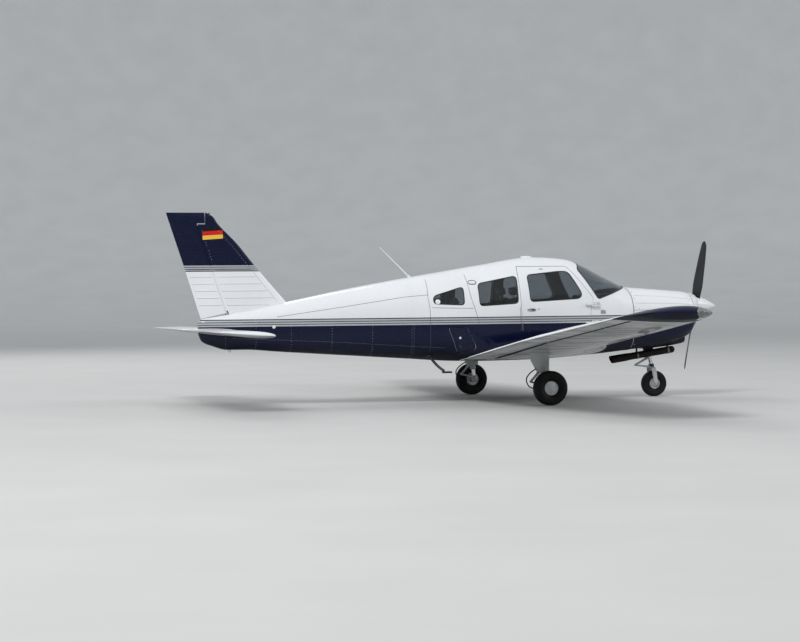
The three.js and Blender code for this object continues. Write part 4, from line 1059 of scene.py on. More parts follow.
def windshield_edge():
    """The windshield's edge on the skin, round one side and back on the other."""
    outline = round_of(rounded(shrunk(WINDSHIELD, SEAT), SHIELD_CORNER))
    half = [(x, side_at(x, z), z) for x, z in outline if 0 < x < FIREWALL and z < top_at(x) - 0.0005]
    start = max(range(len(half)), key=lambda i: math.dist(half[i], half[i - 1]))
    half = half[start:] + half[:start]
    return half + [(x, -y, z) for x, y, z in reversed(half)]


def make_glazing():
    pane("windshield", rounded(shrunk(WINDSHIELD, SEAT), SHIELD_CORNER), ACROSS, "airframe", "windshield")
    rims = {"airframe": [windshield_edge()], "cabin_door": []}
    for label, outline, reach in WINDOWS:
        body = "cabin_door" if label == "door" else "airframe"
        pane(label, rounded(shrunk(outline, SEAT), CORNER), reach, body, f"window_{label}")
        side, rim = math.copysign(1, reach[0]), round_of(rounded(shrunk(outline, 0.004), CORNER))
        rims[body].append([(x, side * (side_at(x, z) - 0.004), z) for x, z in rim])
    for body, loops in rims.items():
        seal = laid("seal_rubber", "strip", [(loop, None, True) for loop in loops], Width=sizes().seal_width)
        dress(f"window_seals_{body}", seal, "tyre_rubber", body=body)
    path = [(x, 0, top_at(x) + 0.001) for x in np.linspace(1.49, 0.885, 9)]
    dress("windshield_post", bar("white_paint", path, (0.01, 0.01), 0.026, 3), "white_paint")


# Cowling, engine and exhaust

SCOOP = [(2.3795, 0.7, 0.15), (2.345, 0.69, 0.16), (2.1, 0.652, 0.17), (1.771, 0.628, 0.19), (1.6, 0.64, 0.18)]
INLET = [(0.17, 1.075), (0.33, 1.09), (0.33, 1.205), (0.17, 1.215)]


def scoop_ring(x, bottom, half):
    """A section of the chin scoop."""
    side = [(half, 0.86), (half, bottom + 0.05)]
    side += [(half - 0.055 * (1 - math.cos(t)), bottom + 0.05 * (1 - math.sin(t)))
             for t in np.linspace(0.2, 1.5, 7)]
    side += [(half * 0.4, bottom)]
    return [(x, y, z) for y, z in side] + [(x, -y, z) for y, z in reversed(side)]


def make_cowling():
    shell = skin("fuselage_paint", COWL, BOWL_REAR - SEAT, COWL_REAR, step=0.03)
    # Painted shade: the cowl's inside and the walls of its scoop, outlet and vent are near black
    inside = skin("dark_paint", COWL, BOWL_REAR - SEAT, COWL_REAR, 0.015, (0.01, 0.01), 0.03)
    cut(shell, inside, keep=True)
    lower = duplicate(shell)
    cut(shell, block(None, (1, -1, SPLIT + SEAT), (3, 1, 2), 0), "INTERSECT")
    dress("cowl", shell, "white_paint", "cowl_upper")
    cut(lower, block(None, (1, -1, 0), (3, 1, SPLIT), 0), "INTERSECT")
    stations = np.linspace(SCOOP[0][0], SCOOP[-1][0], 26)
    scoop = loft("fuselage_paint", [scoop_ring(x, *row) for x, row in zip(stations, interpolate(SCOOP, stations))])
    cut(scoop, inside)
    cut(scoop, prism("dark_paint", box_outline((-0.11, 0.722), (0.11, 0.76), 0.015), "x", 2.33, 2.42))
    cut(lower, scoop, "UNION")
    outlet = rounded([(COWL_REAR - 0.01, -0.23), (1.64, -0.21), (1.64, 0.21), (COWL_REAR - 0.01, 0.23)], 0.02)
    cut(lower, prism("dark_paint", outlet, "z", 0.5, 0.7))
    cut(lower, prism("dark_paint", box_outline((1.85, -0.076), (2.05, 0.076), 0.05), "z", 0.5, 0.72))
    dress("lower_cowl", lower, "navy_paint", "cowl_lower")
    make_bowl()
    plate = body_rings(BODY, [FIREWALL], 0.003)[0]
    plate = loft("bare_steel", [plate + [dx, 0, 0] for dx in (0.0, 0.011)])
    dress("firewall_plate", plate, "bare_steel", "firewall")


def make_bowl():
    """The nose bowl with its inlets and the crankshaft's hole."""
    stations = np.concatenate([np.linspace(BOWL_REAR, 2.47, 7), np.linspace(2.48, 2.524, 7), [2.529, BOWL_FACE]])
    rings = body_rings(COWL, stations)
    centre = rings[-1].mean(0)
    rings[-1] = centre + (rings[-1] - centre) * 0.975
    bowl = loft("fuselage_paint", rings)
    # Painted shade: the bowl's inside, the crankshaft hole and the inlet walls are near black
    cut(bowl, skin("dark_paint", COWL, BOWL_FACE - 0.048, BOWL_REAR, 0.022, (0, 0.01), 0.02))
    cut(bowl, rod("dark_paint", (2.44, 0, THRUST), (2.6, 0, THRUST), 0.075, sides=48))
    for side in (1, -1):
        edge = [(side * y, z) for y, z in rounded(INLET, CORNER)]
        cut(bowl, prism("dark_paint", edge, "x", BOWL_REAR + 0.04, 2.6))
        depths = np.linspace(BOWL_FACE, BOWL_REAR, 60)
        rim = [(next((x for x in depths if side_at(x, z, COWL) > abs(y)), BOWL_FACE), y, z) for y, z in edge]
        bowl = joined([bowl, ringed("white_paint", rim, 0.012)])
    dress("nose_bowl_skin", bowl, "white_paint", "nose_bowl")


def make_engine():
    """Crankcase, four finned cylinders, mount tubes and crankshaft."""
    case = [ellipse((x, 0, THRUST - 0.02), (0, w, 0), (0, 0, h), 32, 5)
            for x, w, h in ((1.8, 0.11, 0.13), (1.83, 0.15, 0.17), (2.27, 0.15, 0.17), (2.32, 0.09, 0.1))]
    parts = [loft("engine_iron", case), block("engine_iron", (1.84, -0.13, 0.9), (2.24, 0.13, 1.02), 0.02),
             rod("bare_steel", (2.3, 0, THRUST), (PROP_REAR - SEAT, 0, THRUST), 0.06, sides=40)]
    for x, side in ((x, side) for x in (1.92, 2.16) for side in (-1, 1)):
        a, b = (Vector((x, side * y, THRUST)) for y in (0.12, 0.33))
        inner, outer = sorted((b.y, b.y - side * 0.05))
        parts += [rod("engine_iron", a, b, 0.066),
                  laid("cast_alloy", "discs", [([a, b], None, False)], Count=17, Radius=0.088, Thickness=0.003),
                  block("cast_alloy", (x - 0.07, inner, THRUST - 0.08), (x + 0.07, outer, THRUST + 0.08), 0.015)]
    for side, z in ((side, z) for side in (-1, 1) for z in (0.96, 1.225)):
        parts.append(rod("bare_steel", (COWL_REAR, side * 0.25, z), (1.84, side * 0.14, z), 0.018))
    dress("engine_assembly", parts, "engine_iron", "engine_block")


def make_exhaust():
    """The pipe under the cowl, cut on a slant at the rear."""
    front, rear = Vector((2.185, -0.15, 0.612)), Vector((1.31, -0.15, 0.486))
    way, length = (rear - front).normalized(), (rear - front).length
    outer = [(0.045 * math.sin(t), -0.045 * math.cos(t)) for t in np.linspace(0, math.pi / 2, 10)]
    outer += [(0.045, 0.3), (0.047, 0.302), (0.047, 0.318), (0.045, 0.32), (0.045, length - 0.3),
              (0.05, length - 0.24), (0.05, length), (0.044, length), (0.044, length - 0.19), (0, length - 0.19)]
    body = turned("sooty_steel", outer, front, way, 48)
    slant = block("sooty_steel", (-0.2, -0.1, -0.3), (0.0, 0.1, 0.3), 0)
    slant.data.transform(Matrix.Translation(rear + 0.035 * X) @ Matrix.Rotation(math.radians(-22), 4, "Y"))
    cut(body, slant)
    hangers = ((2.13, 0.62, 0.7), (1.7, 0.56, 0.65))
    clamp = [(0.0445, -0.012), (0.0485, -0.012), (0.0485, 0.012), (0.0445, 0.012), (0.0445, -0.012)]
    parts = [body, *(rod("sooty_steel", (x, front.y, low), (x, front.y, high), 0.012) for x, low, high in hangers),
             *(turned("engine_iron", clamp, front + way * (front.x - x), way, 40) for x, *_ in hangers)]
    dress("exhaust_pipe", parts, "sooty_steel", "exhaust")


# Wings and their control surfaces


def wing_point(span, u, side, rows=None):
    """A point of the wing in its own tilted frame, on the upper side, 1, or the lower, -1."""
    nose, tail, incidence, thickness = rows if rows is not None else straight(WING, span)
    chord, slope = nose - tail, math.sin(math.radians(incidence))
    up = (camber_line(u) + side * airfoil_half(u, thickness)) * chord
    return Vector((nose - u * chord + up * slope, span, (chord - u * chord) * slope + up))


def place_wing(point):
    """From the left wing's frame to the aircraft's."""
    return WING_ROOT + Matrix.Rotation(DIHEDRAL, 3, "X") @ Vector(point)


def even_chord(count, start=0.0, end=1.0):
    """Places along the chord, closer together at both ends."""
    return [start + (end - start) * (1 - math.cos(math.pi * k / count)) / 2 for k in range(count + 1)]


def wing_ring(span, rows=None, front=0.0, rear=1.0):
    """A section between two places along the chord."""
    us = even_chord(34, front, rear)
    upper = [wing_point(span, u, 1, rows) for u in reversed(us)]
    return upper + [wing_point(span, u, -1, rows) for u in us[front == 0:]]


def tip_ring(span, front=0.0, rear=1.0):
    """A section of the tip, whose thickness runs out on a curve."""
    rows = list(interpolate(WING[4:], span)[0])
    rows[3] *= math.sqrt(max(0.0008, 1 - max(0.0, (span - 4.62) / (4.776 - 4.62)) ** 2))
    return wing_ring(span, rows, front, rear)


def on_wing(face, sign):
    """Gives the point and the way out at a (span, chord place) of one skin."""
    def place(span, u):
        along_chord = wing_point(span, u + 0.01, face) - wing_point(span, u - 0.01, face)
        out = Vector((along_chord.z, 0, -along_chord.x)).normalized()
        out = Matrix.Rotation(DIHEDRAL, 3, "X") @ (out if out.z * face > 0 else -out)
        return [Vector((v.x, sign * v.y, v.z)) for v in (place_wing(wing_point(span, u, face)), out)]
    return place


def hinge_at(span):
    """Hinge point and nose radius of a control surface."""
    nose, tail, incidence, thickness = straight(WING, span)
    chord = nose - tail
    height = chord * (1 - CONTROL_CHORD) * math.sin(math.radians(incidence)) + camber_line(CONTROL_CHORD) * chord
    return (Vector((nose - CONTROL_CHORD * chord, span, height)),
            airfoil_half(CONTROL_CHORD, thickness) * chord * 0.96)


def bead(at, first, pitch):
    """Height of the pressed beads at a place, from 0 to 1."""
    off = abs((at - first + pitch / 2) % pitch - pitch / 2)
    return max(0.0, 1 - (off / 0.0055) ** 2)


def bead_steps(low, high, first, pitch):
    """Places that follow each bead's curve between two ends."""
    steps = {low, high}
    for k in range(math.ceil((low - first) / pitch), math.floor((high - first) / pitch) + 1):
        steps |= {first + k * pitch + off for off in (-0.0057, -0.003, 0, 0.003, 0.0057)}
    return sorted(s for s in steps if low <= s <= high)


def fade(u, low, high, reach=0.012):
    """1 between two places along the chord, dropping to 0 at them."""
    return min(1.0, max(0.0, (u - low) / reach)) * min(1.0, max(0.0, (high - u) / reach))


def control_surface(span):
    """A flap or aileron: round nose, beaded skins, end pins."""
    (start, r0), (end, r1) = hinge_at(span[0]), hinge_at(span[1])
    pitch, height = sizes().bead_pitch, sizes().bead_height
    low, high = span[0] + CONTROL_GAP, span[1] - CONTROL_GAP
    us = [0.8, 0.82, 0.832, 0.845, 0.87, 0.91, 0.95, 0.972, 0.984, 1.0]
    rings = []
    for at in bead_steps(low, high, low + pitch / 2, pitch):
        t = (at - span[0]) / (span[1] - span[0])
        hinge, radius = start.lerp(end, t), r0 + (r1 - r0) * t
        lift = bead(at, low + pitch / 2, pitch) * height
        upper, lower = ([wing_point(at, u, side) + Z * side * lift * fade(u, 0.832, 0.984) for u in us]
                        for side in (1, -1))
        nose = [hinge + Vector((math.cos(a), 0, math.sin(a))) * radius for a in np.linspace(1.35, -1.35, 11)]
        rings.append([tuple(place_wing(p)) for p in upper[::-1] + nose + lower])
    way = (end - start).normalized()
    pins = [rod("bare_steel", place_wing(point - way * side * 0.02), place_wing(point + way * side * 0.013),
                PIN_RADIUS)
            for point, side in ((start, -1), (end, 1))]
    return joined([loft("white_paint", rings), *pins])


def make_controls():
    for label, span in (("flap", FLAP_SPAN), ("aileron", AILERON_SPAN)):
        left = control_surface(span)
        right = mirrored(left)
        for node, piece in ((f"{label}_left", left), (f"{label}_right", right)):
            dress(f"{node}_skin", piece, "white_paint", node, body=node)


def make_wings():
    spans = set(np.arange(-0.16, 4.44, 0.1)) | {4.44}
    for kink in (0.06, 0.5, 2.112):
        spans |= {kink - 0.012, kink + 0.012}
    wing = loft("white_paint", [wing_ring(s) for s in sorted(spans)])
    for low, high in (FLAP_SPAN, AILERON_SPAN):
        (start, r0), (end, r1) = hinge_at(low), hinge_at(high)
        gap = [(start.x + r0 + CONTROL_GAP, low), (end.x + r1 + CONTROL_GAP, high), (-1.5, high), (-1.5, low)]
        # Painted shade: the cut faces of the coves before the flaps and ailerons are near black
        cut(wing, prism("dark_paint", gap, "z", -0.6, 0.9))
    tilt = Matrix.Translation(WING_ROOT) @ Matrix.Rotation(DIHEDRAL, 4, "X")
    wing.data.transform(tilt)
    cut(wing, skin("white_paint", BODY, FIREWALL, CABIN_REAR, -SEAT))
    right = mirrored(wing)
    spans = eased(4.4405, 4.7745 - 4.4405, 25)
    whole = [s for s in spans if s < TIP_LENS] + [TIP_LENS]
    beyond = [TIP_LENS] + [s for s in spans if s > TIP_LENS]
    tip = joined([loft("navy_paint", [tip_ring(s) for s in whole]),
                  loft("navy_paint", [tip_ring(s, LENS_CHORD) for s in beyond])])
    cover = loft("clear_lens", [tip_ring(s, 0, LENS_CHORD - 0.0005) for s in beyond])
    for piece in (tip, cover):
        piece.data.transform(tilt)
    for side, sign, piece in (("left", 1, wing), ("right", -1, right)):
        dress(f"wing_{side}_skin", piece, "white_paint", f"wing_{side}")
        ends = [duplicate(p) if sign > 0 else mirrored(p) for p in (tip, cover)]
        place = on_wing(1, sign)(4.66, 0.1)[0] - Z * 0.035
        bulb = rod("red_lens" if sign > 0 else "green_lens", place - Z * 0.026, place + Z * 0.018, 0.016, 0.012)
        dress(f"wing_tip_{side}_skin", [*ends, bulb], "navy_paint", f"wing_tip_{side}")
    drop(tip, cover)


# Tail


def rudder_hinge(z):
    (z0, x0), (z1, x1) = RUDDER_FOOT, RUDDER_HEAD
    return x0 + (x1 - x0) * (z - z0) / (z1 - z0)


def fin_at(z):
    """Leading edge, chord and thickness at a height; the top is rounded off."""
    nose, tail = interpolate(FIN, z)[0]
    top = math.sqrt(max(0.001, 1 - max(0.0, (z - 2.315) / (FIN[-1][0] - 2.3148)) ** 2))
    return nose, nose - tail, FIN_THICKNESS * top


def fin_half(x, z):
    """Half thickness of the fin and rudder at a place."""
    nose, chord, thickness = fin_at(z)
    return airfoil_half((nose - x) / chord, thickness) * chord


def rudder_nose(z):
    return fin_half(rudder_hinge(z), z) * 0.95


def on_fin(sign):
    """Gives the point and the way out at an (x, z) of one side."""
    def place(x, z):
        half = [fin_half(x + d, z) for d in (-0.01, 0.01)]
        return Vector((x, sign * sum(half) / 2, z)), Vector(((half[1] - half[0]) / 0.02, sign, 0)).normalized()
    return place


def fin_ring(z):
    nose, chord, thickness = fin_at(z)
    half = [(nose - u * chord, airfoil_half(u, thickness) * chord, z) for u in even_chord(40)]
    return half[::-1] + [(x, -y, z) for x, y, z in half[1:]]


def crown(high, fall):
    """Levels of the rounded top of the fin and rudder."""
    return [2.27, 2.3, 2.32, *(high - fall * (1 - t) ** 2 for t in np.linspace(0.15, 1, 8))]


def rudder_ring(z):
    """A rudder section, with a round nose about the hinge line."""
    nose, chord, _ = fin_at(z)
    hinge, tail, radius = rudder_hinge(z), nose - chord, rudder_nose(z)
    stations = (tail, tail + 0.02, tail + 0.035, tail + 0.055, *np.linspace(tail + 0.09, hinge - 0.09, 6),
                hinge - 0.05, hinge - 0.03, hinge - 0.012)
    side = [(x, fin_half(x, z), z) for x in stations]
    arc = [(hinge + math.cos(a) * radius, math.sin(a) * radius, z) for a in np.linspace(1.5, -1.5, 11)]
    return side + arc + [(x, -y, z) for x, y, z in reversed(side)]


def make_fin():
    fin = loft("fin_paint", [fin_ring(z) for z in (*np.linspace(1.062, 2.25, 30), *crown(2.384, 0.064))])
    seals = []
    for side in (1, -1):
        rings = []
        for z in np.linspace(RUDDER_LOW + 0.03, 2.225, 24):
            hinge, radius = rudder_hinge(z), rudder_nose(z)
            front = hinge + radius + RUDDER_GAP + 0.004
            y = fin_half(front, z) - 0.0006
            rear = hinge + math.sqrt(max(0.0, (radius + 0.0035) ** 2 - (y - 0.002) ** 2))
            rings.append([(x, side * (y - deep), z)
                          for x, deep in ((front, 0), (rear, 0), (rear, 0.0018), (front, 0.0018))])
        seals.append(loft("fin_paint", rings))
    low, top, horn = 0.9, HORN_BOTTOM - RUDDER_GAP, HORN_FRONT + RUDDER_GAP
    gap = [(rudder_hinge(low) + rudder_nose(RUDDER_LOW) + RUDDER_GAP, low),
           (rudder_hinge(top) + rudder_nose(HORN_BOTTOM) + RUDDER_GAP, top), (horn, top), (horn, 2.5),
           (-4.6, 2.5), (-4.6, low)]
    # Painted shade: the cut faces of the rudder gap are near black
    cut(fin, prism("dark_paint", gap, "y", -0.3, 0.3))
    cut(fin, skin("fin_paint", BODY, CABIN_REAR, TAIL_END, -SEAT))
    dress("fin_skin", [fin, *seals], "navy_paint", "fin")


def make_rudder():
    top = HORN_BOTTOM - RUDDER_GAP
    rudder = loft("fin_paint", [rudder_ring(z) for z in np.linspace(1.06, top, 30)])
    over_tail, foot = straight(BODY, TAIL_END)[0] + 0.026, rudder_hinge(RUDDER_LOW)
    floor = [(foot + 0.1, RUDDER_LOW), (foot, RUDDER_LOW), (TAIL_END, over_tail), (-4.6, over_tail),
             (-4.6, 0.9), (-3.5, 0.9)]
    cut(rudder, prism("fin_paint", floor, "y", -0.3, 0.3))
    cap = loft("fin_paint", [fin_ring(z) for z in (HORN_BOTTOM + 0.0004, *crown(2.3845, 0.0645))])
    front = [(HORN_FRONT, 2.2), (HORN_FRONT, 2.5), (-4.6, 2.5), (-4.6, 2.2)]
    cut(cap, prism("fin_paint", front, "y", -0.3, 0.3), "INTERSECT")
    neck = [(x, y * 0.9, z) for x, y, z in rudder_ring(top)]
    fill = loft("fin_paint", [neck, [(x, y, HORN_BOTTOM + 0.004) for x, y, _ in neck]])
    pin = rod("bare_steel", *((rudder_hinge(z), 0, z) for z in (1.105, 1.18)), PIN_RADIUS)
    dress("rudder_skin", [rudder, cap, fill, pin], "navy_paint", "rudder", body="rudder")


def make_tail_cone():
    stations = np.concatenate([np.arange(CABIN_REAR - SEAT, -3.9, -0.06), np.linspace(-3.91, TAIL_END, 9)])
    eye = [(0.009, -0.005), (0.015, -0.005), (0.017, -0.003), (0.017, 0.003), (0.015, 0.005), (0.009, 0.005),
           (0.009, -0.005)]
    parts = [loft("fuselage_paint", body_rings(BODY, stations)),
             turned("bare_steel", eye, (-3.63, 0, 0.683), Y, 32),
             block("bare_steel", (-3.638, -0.005, 0.698), (-3.622, 0.005, 0.73), 0.002)]
    dress("tail_cone_skin", parts, "white_paint", "tail_cone")


def stab_tilt(pieces):
    """The stabilator's parts as one, at their rest angle."""
    piece, away = joined(pieces), Matrix.Translation(STAB_PIVOT)
    piece.data.transform(away @ Matrix.Rotation(STAB_REST, 4, "Y") @ away.inverted())
    return piece


def stab_ring(span, front=0.0, rear=1.0, count=26):
    """A section between two places along the chord."""
    off = max(0.0, (span - 1.89) / (STAB_SPAN - 1.8898))
    draw = 0.075 * (1 - math.sqrt(1 - off**2))
    thick = STAB_THICKNESS * math.sqrt(max(0.002, 1 - off**2))
    chord, nose = STAB_CHORD - 2 * draw, STAB_NOSE - draw
    half = [(nose - u * chord, span, STAB_PIVOT.z + airfoil_half(u, thick) * chord)
            for u in even_chord(count, front, rear)]
    return half[::-1] + [(x, y, 2 * STAB_PIVOT.z - z) for x, y, z in half[front == 0:]]


def make_stabilator():
    spans = [*np.linspace(STAB_ROOT, 1.89, 16), *eased(1.89, 0.0899, 9, 1)]
    half = loft("white_paint", [stab_ring(s) for s in spans])
    hinge = STAB_NOSE - STAB_CHORD * TAB_CHORD
    cut(half, block("white_paint", (-4.5, STAB_ROOT - 0.05, 0.7),
                    (hinge + TAB_NOSE + 0.007, TAB_HALF + 0.007, 1.2), 0))
    parts = [half, mirrored(half), rod("bare_steel", STAB_PIVOT - Y * 0.19, STAB_PIVOT + Y * 0.19, 0.03)]
    for side in (1, -1):
        rib = [(x, side * STAB_ROOT, z) for x, _, z in stab_ring(STAB_ROOT)]
        parts.append(ringed("white_paint", rib, 0.006))
    dress("stabilator_skin", stab_tilt(parts), "white_paint", "stabilator", body="stabilator")
    upper = [(x, z) for x, _, z in stab_ring(0.5, TAB_CHORD, 1.0, 8)[:9]]
    nose = [(hinge + math.cos(a) * TAB_NOSE, STAB_PIVOT.z + math.sin(a) * TAB_NOSE)
            for a in np.linspace(1.45, -1.45, 9)]
    section = upper + nose + [(x, 2 * STAB_PIVOT.z - z) for x, z in reversed(upper)]
    parts = [loft("white_paint", [[(x, span, z) for x, z in section]
                                  for span in np.linspace(-TAB_HALF, TAB_HALF, 31)])]
    for side in (1, -1):
        ends = [(hinge, side * y, STAB_PIVOT.z) for y in (TAB_HALF - 0.02, TAB_HALF + 0.019)]
        parts.append(rod("bare_steel", *ends, 0.006))
    dress("stabilator_tab_skin", stab_tilt(parts), "white_paint", "stabilator_tab", body="stabilator_tab")


# Propeller

# Blade rows: radius, chord, thickness, pitch in degrees
BLADE = [
    (0.03, 0.09, 0.06, 50), (0.17, 0.12, 0.04, 42), (0.32, 0.148, 0.024, 32), (0.56, 0.14, 0.015, 23),
    (0.79, 0.112, 0.01, 17), (0.88, 0.086, 0.008, 15), (0.905, 0.044, 0.006, 15),
]


def at_blades(piece):
    """An upright piece at the places of both blades."""
    copies = []
    for turn in (PROP_LEAN, PROP_LEAN + math.pi):
        copies.append(duplicate(piece))
        copies[-1].data.transform(Matrix.Translation((PROP_PLANE, 0, THRUST)) @ Matrix.Rotation(turn, 4, "X"))
    drop(piece)
    return copies


def blade_ring(radius):
    """A blade section, thickest towards its leading edge."""
    chord, thickness, pitch = interpolate(BLADE, min(radius, 0.885))[0]
    tip = math.sqrt(max(0.0009, 1 - max(0.0, (radius - 0.847) / (PROP_RADIUS - 0.8469)) ** 2))
    sine, cosine, ring = math.sin(math.radians(pitch)), math.cos(math.radians(pitch)), []
    for c, s in (turn_of(i, 28) for i in range(28)):
        across, deep = c * chord * tip / 2, s * thickness * tip / 2 * (1 + 0.25 * c)
        ring.append((across * sine + deep * cosine, deep * sine - across * cosine, radius))
    return ring


def make_propeller():
    radii = [*np.linspace(0.03, 0.845, 40), *eased(0.847, 0.0578, 10, 1)]
    blades = at_blades(loft("blade_paint", [blade_ring(r) for r in radii]))
    hub = [(0, -0.038), (0.055, -0.038), (0.072, -0.034), (0.075, -0.03), (0.075, 0.02), (0.07, 0.026),
           (0.058, 0.03), (0.058, 0.047), (0.055, 0.0497), (0, 0.0497)]
    hub = turned("cast_alloy", hub, (PROP_PLANE, 0, THRUST), X)
    dress("propeller_pair", [hub, *blades], "blade_black", "propeller_blades", body="propeller")
    cone = [(0, 0), (SPINNER_RADIUS - 0.008, 0), (SPINNER_RADIUS - 0.0015, 0.001), (SPINNER_RADIUS, 0.004)]
    cone += [(SPINNER_RADIUS * (1 - t) ** SPINNER_BULGE, (SPINNER_TIP - PROP_REAR) * t)
             for t in (0.06, *np.linspace(0.1, 0.9, 21), 0.94, 0.97, 0.99, 1)]
    spinner = turned("white_paint", cone, (PROP_REAR, 0, THRUST), X, 96)
    room = [(0, -0.001), (0.085, -0.001), (0.085, 0.09), (0, 0.09)]
    # Painted shade: the spinner's inside and the walls of the blade slots are near black
    cut(spinner, turned("dark_paint", room, (PROP_REAR, 0, THRUST), X, 48))
    slot = prism("dark_paint", box_outline((-0.046, -0.068), (0.046, 0.068), 0.04), "z", 0.065, 0.205)
    for tool in at_blades(slot):
        cut(spinner, tool)
    dress("spinner_cone", spinner, "white_paint", "spinner", body="propeller", sharp=30)


# Landing gear

# Fairing rows: height, station, half length, half thickness
FAIRING = [
    (0.76, -0.066, 0.135, 0.07), (0.628, -0.066, 0.134, 0.068), (0.612, -0.075, 0.121, 0.058),
    (0.545, -0.076, 0.12, 0.056), (0.403, -0.036, 0.08, 0.046),
]
STEER_FOOT, STEER_HEAD = Vector((1.975, 0, 0.36)), Vector((1.935, 0, 0.56))
STEER_WAY = (STEER_HEAD - STEER_FOOT).normalized()


def twofold(coat, side, centre, sides):
    """A wheel's part from the (radius, distance) rows of one half."""
    profile = [(r, -w) for r, w in side]
    return turned(coat, profile + side[::-1] + profile[:1], centre, Y, sides)


def tyre(name, size, centre, body, node):
    """A tyre with grooved tread and a rib round each wall."""
    radius, width, low = size
    middle, groove = (radius + low) / 2, sizes().groove_depth
    side = [(low, 0.55), (low + 0.01, 0.66), (middle - 0.025, 0.93), (middle, 0.995), (middle + 0.02, 0.985)]
    side += [(radius - deep, wide) for deep, wide in (
        (0.036, 0.955), (0.033, 0.965), (0.027, 0.955), (0.024, 0.92), (0.012, 0.8), (0.004, 0.64), (0.0008, 0.5))]
    for place in (0.36, 0.12):
        side += [(radius, place + 0.05), (radius, place + 0.036), (radius - groove, place + 0.026),
                 (radius - groove, place - 0.026), (radius, place - 0.036)]
    wheel = twofold("tyre_rubber", [(r, w * width / 2) for r, w in side], centre, 112)
    dress(name, wheel, "tyre_rubber", node, body=body, sharp=30)


def cast_hub(coat, bore, rim, half, centre):
    """A cast wheel: rim flanges, web and hub."""
    side = [(bore, half + 0.006), (bore + 0.022, half + 0.006), (bore + 0.026, half - 0.004),
            (rim - 0.024, half - 0.01),
            (rim - 0.018, half + 0.004), (rim - 0.006, half + 0.006), (rim, half - 0.002)]
    return twofold(coat, side, centre, 72)


def make_main_wheel(side, sign):
    radius, width, low = MAIN_TYRE
    centre, out, body = Vector((0, sign * HALF_TREAD, radius)), Y * sign, f"main_wheel_{side}"
    tyre(f"main_tyre_{side}_tread", MAIN_TYRE, centre, body, f"main_tyre_{side}")
    cap = [(0, 0.06), (0.02, 0.0595), (0.032, 0.058), (0.034, 0.0565), (0.055, 0.0535), (0.068, 0.05),
           (0.076, 0.045),
           (0.081, 0.041), (0.081, 0.039), (0, 0.039)]
    disc = [(0.0223, -0.056), (0.072, -0.056), (0.073, -0.057), (0.073, -0.063), (0.072, -0.064), (0.0223, -0.064),
            (0.0223, -0.056)]
    parts = [cast_hub("wheel_paint", 0.0223, low - SEAT, width * 0.3, centre),
             turned("wheel_paint", cap, centre, out, 72), turned("bare_steel", disc, centre, out, 72)]
    for turn in (2 * math.pi * k / 3 + 0.4 for k in range(3)):
        at = centre + (X * math.cos(turn) + Z * math.sin(turn)) * 0.058
        parts.append(rod("bare_steel", at + out * 0.048, at + out * 0.0565, 0.006, sides=6))
    dress(f"main_wheel_{side}_alloy", parts, "wheel_alloy", f"main_hub_{side}", body=body)


def fairing_ring(z, station, long, thick):
    """A section, blunt in front and drawn out behind."""
    return [(station + c * long, LEG_Y + math.copysign(abs(s) ** (0.85 if c > 0 else 1.15), s) * thick, z)
            for c, s in (turn_of(i, 48) for i in range(48))]


def torque_link(points, y, wide):
    """Two tapering forks that meet at a bolt."""
    high, apex, low = (Vector((x, y, z)) for x, z in points)
    parts = []
    for end in (high, low):
        for side in (-1, 1):
            reach, tip = end + Y * side * wide, apex + Y * side * 0.01
            parts.append(bar("gear_paint", [reach, reach.lerp(tip, 0.5), tip], (0.03, 0.018, 0.024), 0.009))
        parts.append(rod("bare_steel", end - Y * (wide + 0.008), end + Y * (wide + 0.008), 0.009))
    return [*parts, rod("bare_steel", apex - Y * 0.02, apex + Y * 0.02, 0.0075)]


